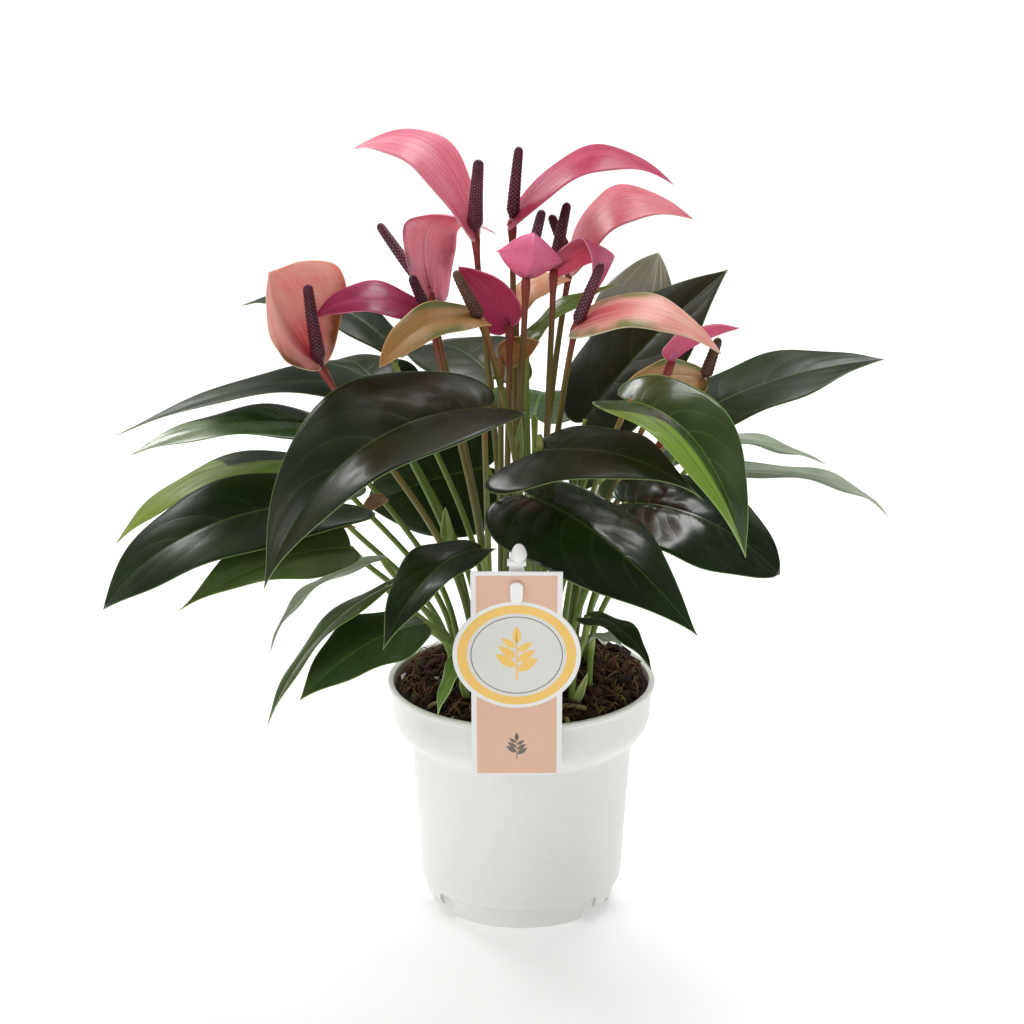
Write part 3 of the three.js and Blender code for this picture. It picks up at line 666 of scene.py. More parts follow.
@dataclass(frozen=True)
class SpadixFinish:
    """Shades of a spadix, of the painted shade in the valleys between its florets and of the dot on each."""

    name: str
    body: Shade
    drift: Shade
    dot: Shade
    dot_share: float = 0.85
    valley_shade: Colour = (0.01, 0.003, 0.005, 1)
    spirals: int = 8

    def build(self) -> bpy.types.Material:
        """Makes the beaded spadix: a pale dot in the middle of each floret, fading to its tip, and painted
        shade in the valleys between them.

        Florets lie where (n u + m v) and (n u - m v) are both half a number past a whole one.
        """
        made = Surface(self.name, 0.42, Specular_IOR_Level=0.4)
        bench = made.bench
        place = bench.split(made.map)
        ring = bench.times(place["X"], float(self.spirals))
        up = bench.times(place["Y"], bench.split(made.paint)["Y"])
        gaps = []
        for way in ("ADD", "SUBTRACT"):
            part = bench.math("FRACT", bench.math("ADD", bench.math(way, ring, up), 64.0))
            gaps.append(bench.math("POWER", bench.math("SUBTRACT", part, 0.5), 2.0))
        away = bench.math("SQRT", bench.math("ADD", *gaps))
        uneven = bench.span(bench.noise(made.place, 500, 1), 0.35, 0.65, 0.4, 1.0)
        fade = bench.span(place["Y"], 0.95, 0.6)
        dot = bench.times(bench.span(away, 0.17, 0.08), bench.times(fade, uneven))
        mottle = made.mottle(90.0, 900.0, 0.4)
        colour = bench.mix(mottle, srgb(self.body), srgb(self.drift))
        # Painted shade: the valleys between the florets are darkened toward near black.
        colour = bench.mix(bench.times(bench.span(away, 0.3, 0.62), 0.55), colour, self.valley_shade)
        colour = bench.mix(bench.times(dot, self.dot_share), colour, srgb(self.dot))
        made.bump(made.grain(1500.0), 0.06, 0.5)
        return made.dress(colour, bench.span(mottle, 0.0, 1.0, 0.36, 0.55))


@dataclass(frozen=True)
class PlainFinish:
    """One shade with a slight drift and grain, as of moulded plastic or coated card."""

    name: str
    shade: Shade
    drift: Shade
    rough: float
    grain_scale: float = 1200.0
    grain_depth: float = 0.015
    drift_scale: float = 14.0
    scatter: float = 0.0
    glow: float = 0.0

    def build(self) -> bpy.types.Material:
        """Makes the plain material."""
        made = Surface(
            self.name, self.rough, Specular_IOR_Level=0.45, Subsurface_Weight=self.scatter,
            Subsurface_Scale=0.003, Emission_Strength=self.glow, Emission_Color=srgb(self.shade),
        )
        bench = made.bench
        mottle = made.mottle(self.drift_scale, self.drift_scale * 25, 0.3)
        rough = bench.span(bench.noise(made.place, 40, 4), 0.3, 0.7, self.rough - 0.05, self.rough + 0.07)
        made.bump(made.grain(self.grain_scale), self.grain_depth)
        return made.dress(bench.mix(mottle, srgb(self.shade), srgb(self.drift)), rough)


@dataclass(frozen=True)
class EarthFinish:
    """Shades of soil, its crumbs or its fibres."""

    name: str
    dark: Shade
    light: Shade
    scale: float = 180.0
    rough: float = 0.85
    depth: float = 0.6

    def build(self) -> bpy.types.Material:
        """Makes the rough, uneven earth."""
        made = Surface(self.name, self.rough, Specular_IOR_Level=0.3)
        bench = made.bench
        mottle = made.mottle(self.scale, self.scale * 6, 0.45)
        made.bump(bench.noise(made.place, self.scale * 5, 5, 0.7), self.depth)
        rough = bench.span(mottle, 0, 1, self.rough - 0.2, 0.98)
        return made.dress(bench.mix(mottle, srgb(self.dark), srgb(self.light)), rough)


class LeafTone(Enum):
    """The leaf finishes that the plant shows."""

    DEEP = LeafFinish(
        "leaf_deep", (20, 36, 10), (34, 50, 16), (84, 112, 52), (82, 104, 50), (122, 146, 80)
    )
    GLOSS = LeafFinish(
        "leaf_gloss", (18, 33, 9), (29, 46, 14), (84, 112, 52), (80, 102, 50), (122, 146, 80), rough=0.27,
        coat=0.42,
    )
    BRONZE = LeafFinish(
        "leaf_bronze", (24, 36, 12), (40, 46, 20), (84, 98, 56), (84, 98, 54), (124, 144, 88), rough=0.44,
        coat=0.08,
    )
    OLIVE = LeafFinish(
        "leaf_olive", (66, 84, 34), (84, 102, 50), (110, 136, 60), (116, 140, 66), (146, 168, 92),
        rough=0.42, coat=0.1,
    )
    MID = LeafFinish(
        "leaf_mid", (46, 68, 28), (64, 86, 38), (112, 142, 56), (100, 130, 52), (134, 162, 80),
        vein_share=0.2,
    )
    TIPPED = LeafFinish(
        "leaf_tipped", (24, 46, 14), (38, 60, 20), (108, 136, 60), (90, 118, 50), (140, 162, 96), rough=0.3,
        coat=0.35, tail=(128, 142, 108),
    )
    EDGED = LeafFinish(
        "leaf_edged", (46, 68, 24), (66, 88, 38), (112, 142, 56), (120, 146, 66), (156, 184, 98),
        rough=0.32, coat=0.35, vein_share=0.2, near=(136, 168, 60), near_right=True, near_edge=-0.05,
        near_spread=0.4, near_from=0.16,
    )
    SPLIT = LeafFinish(
        "leaf_split", (24, 40, 15), (38, 54, 21), (116, 144, 54), (124, 148, 62), (150, 174, 84),
        near=(132, 154, 46), near_edge=0.46, near_spread=0.5, near_from=0.34,
    )
    # Grey-green in place of leaf green: painted sheen, the glossy reflection that these leaves show at a
    # grazing angle, laid over their colour.
    PAINTED_SHEEN = LeafFinish(
        "leaf_pale", (132, 144, 122), (158, 168, 148), (160, 172, 142), (168, 178, 156), (200, 208, 190),
        rough=0.36, sheen_streaks=0.85,
    )
    YOUNG = LeafFinish(
        "leaf_young", (84, 116, 44), (110, 138, 62), (132, 156, 80), (150, 172, 94), (166, 188, 108),
        rough=0.28, slot="young_leaf",
    )
    SHEATH = LeafFinish(
        "leaf_sheath", (124, 146, 74), (146, 164, 92), (140, 158, 90), (156, 174, 108), (176, 188, 128),
        rough=0.45, coat=0.05,
    )
    HUSK = LeafFinish(
        "leaf_husk", (138, 102, 76), (168, 132, 100), (150, 116, 88), (176, 140, 108), (192, 160, 126),
        rough=0.55, coat=0.0,
    )


class SpatheTone(Enum):
    """The spathe finishes that the plant shows."""

    PINK = SpatheFinish(
        "spathe_pink", "spathe_pink", (208, 96, 122), (218, 122, 142), (220, 106, 138), (238, 176, 188),
        (140, 18, 44), (242, 196, 206), fibre_share=0.5, coat=0.12,
    )
    # A copy of PINK with every shade raised: painted light on bloom 4, whose seen side lies in shade. Its
    # dark purple margin patches are painted shade in its rolled margins.
    PINK_PAINTED_LIT = SpatheFinish(
        "spathe_pink_painted_lit", "spathe_pink", (236, 116, 150), (250, 152, 178), (255, 146, 178), (255, 196, 212),
        (140, 18, 44), (248, 190, 206), (96, 26, 60), margin_green_and_shade_share=0.9, coat=0.12,
    )
    BLUSH = SpatheFinish(
        "spathe_blush", "spathe_pink", (206, 90, 136), (216, 118, 156), (200, 88, 128), (228, 158, 184),
        (178, 60, 96), (236, 184, 204), heart_reach=0.06,
    )
    ROSE = SpatheFinish(
        "spathe_rose", "spathe_magenta", (164, 44, 76), (180, 66, 98), (184, 66, 92), (206, 108, 132),
        (120, 16, 36), (220, 146, 164), fibre_share=0.35,
    )
    MAGENTA = SpatheFinish(
        "spathe_magenta", "spathe_magenta", (130, 22, 66), (158, 42, 88), (160, 42, 80), (194, 84, 124),
        (80, 8, 30), (224, 138, 166), fibre_share=0.3, rough=0.36, coat=0.12,
    )
    # Its outer shade is raised past the spathe's own colour: painted light on the shaded backs of blooms 7
    # and 8.
    HOT = SpatheFinish(
        "spathe_hot", "spathe_magenta", (188, 62, 104), (206, 88, 126), (250, 124, 164), (232, 140, 168),
        (120, 16, 48), (240, 176, 194), fibre_share=0.35, rough=0.36, coat=0.15,
    )
    SALMON = SpatheFinish(
        "spathe_salmon", "spathe_salmon", (248, 172, 160), (252, 200, 184), (226, 134, 124),
        (250, 214, 200), (206, 60, 86), (242, 224, 198), (112, 96, 50), margin_green_and_shade_share=1.3, heart_reach=0.75,
        fibre_share=0.7, coat=0.12,
    )
    CORAL = SpatheFinish(
        "spathe_coral", "spathe_salmon", (194, 92, 106), (206, 116, 128), (200, 96, 108), (222, 150, 158),
        (150, 34, 56), (232, 180, 184), fibre_share=0.4,
    )
    STRIPED = SpatheFinish(
        "spathe_striped", "spathe_salmon", (224, 142, 128), (234, 166, 148), (206, 124, 110),
        (244, 200, 184), (196, 60, 84), (220, 216, 184), (128, 132, 80), margin_green_and_shade_share=1.3, heart_reach=0.75,
        fibre_share=0.6, coat=0.12,
    )
    PEACH = SpatheFinish(
        "spathe_peach", "spathe_faded", (206, 148, 110), (214, 166, 130), (200, 144, 108), (230, 188, 154),
        (190, 120, 88), (230, 198, 164), (150, 130, 60), margin_green_and_shade_share=0.8,
    )
    FADED = SpatheFinish(
        "spathe_faded", "spathe_faded", (152, 106, 58), (142, 114, 58), (140, 100, 54), (184, 142, 88),
        (120, 72, 40), (200, 168, 112), (78, 92, 26), margin_green_and_shade_share=1.8, rough=0.45,
    )


PETIOLE = StemFinish("petiole", (126, 148, 66), (110, 134, 56), (150, 162, 74))
PETIOLE_WARM = StemFinish("petiole_warm", (120, 142, 60), (124, 128, 56), (172, 122, 64))
STALK = StemFinish("stalk", (112, 124, 52), (116, 100, 44), (146, 50, 44))
STALK_FADED = StemFinish("stalk_faded", (116, 130, 56), (124, 122, 54), (150, 100, 56))
SPADIX_DARK = SpadixFinish("spadix_dark", (74, 24, 42), (104, 40, 62), (232, 198, 206))
SPADIX_RIPE = SpadixFinish("spadix_ripe", (84, 54, 44), (112, 76, 58), (170, 140, 116), dot_share=0.5)


# Leaves and blooms


def open_fan(pole: int, row: np.ndarray) -> np.ndarray:
    """Triangles from one point to each step of an open row of corner numbers."""
    return np.stack([np.full(len(row) - 1, pole), row[:-1], row[1:]], axis=-1)


@dataclass(frozen=True)
class Blade:
    """A heart-shaped blade on an arched spine."""

    joint: Point
    tip: Point
    width: float
    arch: float
    lead: float = 0.45
    face: Point = (0, 0, 1)
    roll: float = 0.0
    base: float = 0.78
    taper: float = 1.2
    lobe: float = 0.95
    fold: float = 8.0
    curl: float = -14.0
    wave: float = 1.2
    waves: float = 2.5
    thickness: float = 0.55
    quilt: float = 0.0
    sway: float = 0.018
    pairs: float = 8.0
    sweep: float = 0.3
    rib: float = 0.9
    rows: int = 64
    half_columns: int = 14
    seed: int = 0

    def axes(self) -> tuple[np.ndarray, np.ndarray, np.ndarray, np.ndarray]:
        """The spine's three control points and the blade's side direction."""
        joint, tip = np.array(self.joint, float), np.array(self.tip, float)
        chord = tip - joint
        ahead = unit(chord)
        facing = np.array(Matrix.Rotation(math.radians(self.roll), 3, Vector(ahead)) @ Vector(self.face))
        side = unit(np.cross(ahead, facing))
        middle = joint + chord * self.lead + np.cross(side, ahead) * self.arch * 2
        return joint, middle, tip, side

    def spine(self, s: np.ndarray) -> tuple[np.ndarray, np.ndarray, np.ndarray]:
        """Points, side directions and upward directions of the spine, a quadratic curve.

        Args:
            s: Shares of the way from joint to tip.

        Returns:
            Points, sides and normals, each with 3 more numbers per share.
        """
        joint, middle, tip, side = self.axes()
        share = s[..., None]
        ahead = unit((middle - joint) * (1 - share) + (tip - middle) * share)
        normal = unit(np.cross(side, ahead))
        return bow(joint, middle, tip, share), np.cross(ahead, normal), normal

    def surface(self, t: np.ndarray, v: np.ndarray) -> tuple[np.ndarray, np.ndarray, np.ndarray]:
        """The blade's middle surface, its half width and upward directions.

        With u = t^2, the margin runs at s = u - lobe t (1-u)^3 and half width
        k u^base (1-u)^taper, and a point v of the way out is carried to the side and folded up.

        Args:
            t: Shares of the way from joint to tip.
            v: Shares of the way from the rib to the right margin, below 0 to the left one.

        Returns:
            Points, half widths in millimetres and normals.
        """
        u = t * t
        widest = self.base / (self.base + self.taper)
        scale = 1 / (widest**self.base * (1 - widest) ** self.taper)
        across = scale * u**self.base * (1 - u) ** self.taper
        far = np.abs(v)
        s = u + far * (-self.lobe * t * (1 - u) ** 3)
        out = across * far * self.width / 2
        lean = math.radians(self.fold) + math.radians(self.curl) * out / self.width
        point, side, normal = self.spine(s)
        ripple = self.wave * far * far * across * np.sin(2 * math.pi * self.waves * u + np.sign(v))
        rise = out * np.sin(lean) + ripple + self.relief(t, v, across)
        made = point + side * (np.sign(v) * out * np.cos(lean))[..., None] + normal * rise[..., None]
        return made, across * self.width / 2, normal

    def relief(self, t: np.ndarray, v: np.ndarray, across: np.ndarray) -> np.ndarray:
        """How far the blade bulges between its side veins and sways in slow waves.

        The bulge is q sin^2(pi n (t - sweep |v|^1.2)), for n pairs of veins.

        Args:
            t: Shares of the way from joint to tip.
            v: Shares of the way from the rib to a margin.
            across: The half width at t, as a share of the greatest.

        Returns:
            Heights in millimetres.
        """
        draws = np.random.default_rng(self.seed).uniform(0, 2 * math.pi, 4)
        far = np.abs(v)
        bulge = np.sin(math.pi * self.pairs * (t - self.sweep * far**1.2)) ** 2
        edge = (1 - far**2) * smooth(0.0, 0.2, far)
        broad = np.sin(5 * t + 2 * v + draws[0]) * np.sin(3 * v + draws[1])
        drift = broad + 0.5 * np.sin(9 * t - 4 * v + draws[2])
        swung = self.sway * self.width * far * (1 - 0.75 * far) * drift
        return across * (self.quilt * bulge * edge + swung)

    def faces(self, columns: int) -> list[np.ndarray]:
        """Faces of the top, the under side and the rim, for points in the order that carve gives them.

        Args:
            columns: How many points lie across the blade.

        Returns:
            Arrays of corner numbers.
        """
        size = (self.rows - 1) * columns
        grid = grid_faces(self.rows - 1, columns)
        top_joint, top_tip, low_joint, low_tip = 2 * size + np.arange(4)
        first, last = np.arange(columns), np.arange(size - columns, size)
        left, right = np.arange(0, size, columns), np.arange(columns - 1, size, columns)
        rim = np.concatenate([[top_joint], right, [top_tip], left[::-1]])
        low_rim = np.concatenate([[low_joint], right + size, [low_tip], left[::-1] + size])
        back = [0, 2, 1]
        return [
            grid,
            grid[:, ::-1] + size,
            open_fan(top_joint, first)[:, back],
            open_fan(top_tip, last),
            open_fan(low_joint, first + size),
            open_fan(low_tip, last + size)[:, back],
            np.stack([rim, low_rim, np.roll(low_rim, -1), np.roll(rim, -1)], axis=-1),
        ]

    def carve(self, draft: Draft, slot: int = 0) -> None:
        """Adds the blade to a draft: its top, its under side with a raised rib, and its rim.

        Args:
            draft: The draft.
            slot: The number of the material that it takes.
        """
        half = self.half_columns
        steps = np.arange(-half, half + 1) / half
        columns = np.sign(steps) * np.abs(steps) ** 1.25
        t, v = np.meshgrid(np.arange(1, self.rows) / self.rows, columns, indexing="ij")
        points, reach, up = self.surface(t, v)
        normal = unit(np.cross(np.gradient(points, axis=1), np.gradient(points, axis=0)))
        normal *= np.sign(np.sum(normal * up, axis=-1, keepdims=True))
        span = reach * np.abs(v)
        half_thick = self.thickness / 2 * (0.5 + 0.5 * (1 - np.abs(v) ** 6))
        ridge = self.rib * (1 - t) ** 0.7 * np.exp(-((span / (1.1 * self.rib + 0.05)) ** 2))
        dip = 0.3 * self.rib * (1 - t) ** 0.5 * np.exp(-((span / 0.8) ** 2))
        top = points + normal * (half_thick - dip)[..., None]
        under = points - normal * (half_thick + ridge)[..., None]
        ends, _, end_up = self.spine(np.array([0.0, 1.0]))
        lift = end_up * self.thickness / 4
        uv = np.stack([(v + 1) / 2, t], axis=-1).reshape(-1, 2)
        end_uv = np.array([[0.5, 0.0], [0.5, 1.0]])
        paint = np.stack([np.ones_like(t), span, reach * (1 - np.abs(v))], axis=-1).reshape(-1, 3)
        end_paint = np.array([[1.0, 0.0, 0.0]] * 2)
        low_side = [-1, 1, 1]
        draft.add(
            np.concatenate([top.reshape(-1, 3), under.reshape(-1, 3), ends + lift, ends - lift]),
            self.faces(len(columns)),
            np.concatenate([uv, uv, end_uv, end_uv]),
            np.concatenate([paint, paint * low_side, end_paint, end_paint * low_side]),
            slot,
        )


@dataclass(frozen=True)
class Stem:
    """A stem from the soil to a joint, upright at its foot and leaning out above."""

    foot: Place
    joint: Point
    radius: float = 1.45
    bend: Point | None = None
    knee: float = 1.3
    groove: float = 0.0
    sunk: float = 3.0
    steps: int = 44
    sides: int = 12

    def path(self) -> np.ndarray:
        """Points of the cubic (1-t)^3 A + 3t(1-t)^2 B + 3t^2(1-t) C + t^3 D."""
        x, y = self.foot
        start = np.array([x, y, soil_height(np.array(x), np.array(y)) - self.sunk])
        end = np.array(self.joint, float)
        rise = end[2] - start[2]
        reach = (end - start) * [1, 1, 0]
        second = end - 0.3 * reach - [0, 0, 0.3 * rise] if self.bend is None else np.array(self.bend, float)
        first = start + [0, 0, 0.45 * rise]
        t = np.linspace(0, 1, self.steps)[:, None]
        low = (1 - t) ** 3 * start + 3 * t * (1 - t) ** 2 * first
        return low + 3 * t**2 * (1 - t) * second + t**3 * end

    def grow(self, draft: Draft, slot: int = 0) -> None:
        """Adds the stem to a draft, thicker at its foot and in the knee under its joint.

        Args:
            draft: The draft.
            slot: The number of the material that it takes.
        """
        path = self.path()
        t = np.linspace(0, 1, len(path))
        flare = 0.25 * np.exp(-((t / 0.06) ** 2))
        radii = self.radius * (1.0 + flare - 0.12 * smooth(0.1, 0.8, t))
        lean = path[-1] - path[0]
        below_joint = (1 - t) * np.linalg.norm(lean)
        radii *= 1 + (self.knee - 1) * np.exp(-(((below_joint - 4) / 6) ** 2))
        across = unit(np.cross(lean, [0, 0, 1]) + np.array([0.02, 0.03, 0]))
        points, faces, uv = tube(path, radii, self.sides, across, self.groove)
        draft.add(points, faces, uv, slot=slot)


@dataclass(frozen=True)
class Leaf:
    """A leaf: a blade on its stem, and on a shoot a twin on the same foot."""

    name: str
    foot: Place
    blade: Blade
    tone: LeafTone = LeafTone.DEEP
    bend: Point | None = None
    warm: bool = False
    twin: Blade | None = None

    def build(self, finishes: Finishes) -> None:
        """Makes the leaf as one object that stands for its node."""
        draft = Draft()
        for blade in filter(None, (self.blade, self.twin)):
            blade.carve(draft, 0)
            Stem(self.foot, blade.joint, 1.45, self.bend, 1.25, 0.12).grow(draft, 1)
        stem = PETIOLE_WARM if self.warm else PETIOLE
        finish = self.tone.value
        materials = [finishes[finish.name], finishes[stem.name]]
        draft.build(self.name + "_blade", materials, finish.slot, self.name)


@dataclass(frozen=True)
class Spadix:
    """A tapered rod set with florets in crossing spirals."""

    joint: Point
    end: Point
    radius: float
    spirals: int = SPADIX_DARK.spirals
    sides: int = 54
    cell: float = 1.9
    cell_rows: int = 6
    relief: float = 0.3
    taper: float = 0.36
    gap: float = 1.6
    nose: float = 2.2

    def grow(self, draft: Draft) -> None:
        """Adds the spadix to a draft.

        Its radius is r(s) + h sin^2(pi (n u + m s)) sin^2(pi (n u - m s)), and its nose is round.
        """
        start, end = np.array(self.joint, float), np.array(self.end, float)
        ahead = unit(end - start)
        start = start + ahead * self.gap
        length = float(np.linalg.norm(end - start))
        count = max(5, round(length / self.cell))
        rows = self.cell_rows * count
        s = np.linspace(0, 1, rows)
        into_nose = np.clip(s * length - (length - self.nose), 0, None)
        nose = np.sqrt(np.clip(1 - (into_nose / (self.nose + 0.05)) ** 2, 0.02, 1))
        body = self.radius * (1 - self.taper * s) * (0.55 + 0.45 * smooth(0.0, 0.12, s)) * nose
        u = np.arange(self.sides) / self.sides
        plus = self.spirals * u + count * s[:, None]
        minus = self.spirals * u - count * s[:, None]
        bead = np.sin(math.pi * plus) ** 2 * np.sin(math.pi * minus) ** 2
        radius = body[:, None] + self.relief * (bead - 0.3) * smooth(1.0, 0.85, s)[:, None] * nose[:, None]
        side = unit(np.cross(ahead, [0.3, 1, 0.2]))
        other = np.cross(ahead, side)
        bent = 0.02 * length * np.sin(math.pi * s)
        middle = start + ahead * (s * length)[:, None] + other * bent[:, None]
        rings = around(middle, radius, side, other, 2 * math.pi * u)
        points, faces = close_rings(rings, middle[0], middle[-1] + ahead * 0.1)
        paint = np.tile([1.0, float(count), 0.0], (len(points), 1))
        draft.add(points, faces, rod_map(rows, self.sides), paint)


@dataclass(frozen=True)
class Bloom:
    """A bloom: a spathe on its stalk and, on most, a spadix."""

    name: str
    foot: Place
    blade: Blade
    tone: SpatheTone
    spadix_end: Point | None = None
    bend: Point | None = None
    ripe: bool = False
    rod: float = 2.95

    def build(self, finishes: Finishes) -> None:
        """Makes the spathe with its stalk, and the spadix, each standing for its node."""
        draft = Draft()
        self.blade.carve(draft, 0)
        Stem(self.foot, self.blade.joint, 1.5, self.bend, 1.55).grow(draft, 1)
        stalk = STALK_FADED if self.tone is SpatheTone.FADED else STALK
        finish = self.tone.value
        materials = [finishes[finish.name], finishes[stalk.name]]
        draft.build(self.name + "_hood", materials, finish.slot, self.name + "_spathe")
        if self.spadix_end is not None:
            rod = Draft()
            Spadix(self.blade.joint, self.spadix_end, self.rod).grow(rod)
            finish = SPADIX_RIPE if self.ripe else SPADIX_DARK
            rod.build(self.name + "_florets", [finishes[finish.name]], "spadix", self.name + "_spadix")


def leaf(
    number: int, foot: Place, joint: Point, tip: Point, width: float, arch: float,
    tone: LeafTone = LeafTone.DEEP, bend: Point | None = None, warm: bool = False, **form: object,
) -> Leaf:
    """One leaf by its number, with its blade's quilting and grid sized to its width.

    Args:
        number: The number in its name, from which its folds are drawn.
        foot: Where its stem leaves the soil.
        joint: Where its stem meets the blade.
        tip: The blade's tip.
        width: The blade's greatest width.
        arch: How far the blade's middle rises over the line from joint to tip.
        tone: Its finish.
        bend: The point that its stem leans to on its way, if it isn't the usual one.
        warm: Whether its stem is reddish.
        form: The blade's other fields.

    Returns:
        The leaf.
    """
    rows, half_columns = (72, 15) if width > 30 else (44, 9)
    size = {"rows": rows, "half_columns": half_columns, "quilt": 0.005 * width}
    blade = Blade(joint, tip, width, arch, seed=number, **size, **form)
    return Leaf("leaf_%02d" % number, foot, blade, tone, bend, warm)


def bloom(
    number: int, tone: SpatheTone, foot: Place, joint: Point, tip: Point, width: float, arch: float,
    end: Point | None, bend: Point | None = None, ripe: bool = False, rod: float = 2.95, **form: object,
) -> Bloom:
    """One bloom by its number, with the form that spathes share unless its row says otherwise.

    Args:
        number: The number in its name, from which its folds are drawn.
        tone: The spathe's finish.
        foot: Where its stalk leaves the soil.
        joint: Where its stalk meets the spathe.
        tip: The spathe's tip.
        width: The spathe's greatest width.
        arch: How far the spathe's middle rises over the line from joint to tip.
        end: The spadix's end, if it has one.
        bend: The point that its stalk leans to on its way, if it isn't the usual one.
        ripe: Whether the spadix is brown.
        rod: The spadix's radius at its foot.
        form: The spathe's other fields.

    Returns:
        The bloom.
    """
    shape = {
        "base": 0.6, "taper": 1.0, "lobe": 0.4, "fold": 0.0, "curl": -10.0, "wave": 0.6, "pairs": 5.0,
        "sweep": 0.8, "rib": 0.55, "rows": 60, **form,
    }
    blade = Blade(joint, tip, width, arch, seed=100 + number, quilt=0.003 * width, **shape)
    return Bloom("bloom_%02d" % number, foot, blade, tone, end, bend, ripe, rod)


DEEP, GLOSS, BRONZE, OLIVE, MID, TIPPED, EDGED, SPLIT, PAINTED_SHEEN, YOUNG, SHEATH, HUSK = LeafTone
PINK, PINK_PAINTED_LIT, BLUSH, ROSE, MAGENTA, HOT, SALMON, CORAL, STRIPED, PEACH, FADED = SpatheTone

LEAVES = [
    leaf(1, (-22, 15), (-62, 28, 228), (-180, 18, 213), 48, 13, lead=0.28, taper=1.5),
    leaf(2, (-28, 5), (-84, 5, 220), (-171, -8, 212), 46, 8, TIPPED),
    leaf(3, (-30, 12), (-88, 14, 202), (-180, 0, 168), 36, 15, SPLIT, fold=-4, curl=0, lead=0.55,
         taper=0.95),
    leaf(4, (-31, -3), (-84, -26, 196), (-182, -38, 151), 52, 17, face=(0, -0.35, 1), taper=0.95,
         lead=0.55),
    leaf(5, (-14, -10), (-16, -36, 242), (-108, -90, 179), 72, 26, BRONZE, warm=True, lead=0.52, lobe=0.6,
         fold=18, taper=1.35, face=(0, -0.2, 1)),
    leaf(6, (-28, -12), (-74, -40, 180), (-147, -65, 160), 52, 8, OLIVE, lobe=0.2, fold=22, base=0.7,
         taper=1.7, face=(0, -0.35, 1)),
    leaf(7, (-29, -20), (-60, -44, 177), (-108, -62, 140), 16, 10, PAINTED_SHEEN, roll=40, lead=0.6, lobe=0.3),
    leaf(8, (-24, -25), (-58, -56, 168), (-108, -88, 117), 28, 8, OLIVE, roll=20),
    leaf(9, (-14, -33), (-42, -58, 152), (-94, -90, 129), 40, 7, MID, lobe=0.2, face=(0, -0.2, 1)),
    leaf(10, (-8, -20), (-17, -50, 183), (-58, -98, 155), 32, 11, lobe=0.4, fold=16),
    leaf(11, (-8, -44), (-18, -55, 142), (-36, -69, 114), 12, 5, YOUNG, lobe=0.4),
    leaf(12, (8, -12), (8, -40, 224), (76, -86, 217), 64, 10, BRONZE, face=(0, -0.25, 1), fold=0, base=0.6,
         taper=2.0, lead=0.6, bend=(8, 12, 238)),
    leaf(13, (2, -24), (4, -38, 203), (74, -95, 160), 58, 10, GLOSS, lobe=1.0, fold=-10, taper=1.35,
         face=(-0.35, 0, 1)),
    leaf(14, (14, 2), (29, 29, 217), (92, 41, 283), 58, 5, BRONZE, lobe=0.6, face=(0, -0.4, 1)),
    leaf(15, (14, 22), (46, 50, 238), (62, 64, 285), 40, 5, PAINTED_SHEEN, taper=1.0, face=(0, -0.4, 1)),
    leaf(16, (28, 9), (79, 11, 226), (160, 18, 248), 54, 5, face=(0, -0.15, 1)),
    leaf(17, (18, -8), (47, -40, 246), (95, -70, 186), 40, 20, EDGED, bend=(44, -4, 232), warm=True,
         lead=0.35, fold=22, face=(0, -0.35, 1)),
    leaf(18, (20, -18), (46, -26, 196), (112, -40, 168), 58, 10, GLOSS, base=0.7, taper=0.75, fold=4,
         face=(0, -0.35, 1)),
    leaf(19, (28, 18), (84, 28, 209), (137, 32, 195), 22, 3, PAINTED_SHEEN),
    leaf(20, (30, 2), (82, 4, 201), (163, 4, 179), 22, 10, PAINTED_SHEEN, lead=0.7, lobe=0.4),
    leaf(21, (22, -34), (30, -43, 149), (56, -62, 132), 16, 6),
    leaf(22, (30, -22), (31, -28, 134), (44, -36, 133), 12, 3, PAINTED_SHEEN),
    leaf(23, (-18, 24), (-60, 58, 213), (-92, 112, 218), 46, 11, BRONZE),
    leaf(24, (-6, 22), (-14, 38, 235), (-56, 96, 226), 54, 10, BRONZE),
    leaf(25, (-14, 16), (-60, 30, 253), (-125, 46, 265), 42, 10),
    leaf(26, (6, 26), (6, 54, 212), (14, 126, 194), 48, 8, MID),
    leaf(27, (4, 3), (2, 14, 257), (44, 26, 280), 18, 5, YOUNG),
]
SHOOT = Leaf(
    "leaf_28", (14, 31),
    Blade((38, 62, 178), (88, 106, 166), 50, 12, quilt=0.6, seed=28),
    DEEP,
    twin=Blade((-16, 62, 184), (-72, 66, 164), 60, 9, face=(0, -1, 0.6), quilt=0.4, seed=29),
)
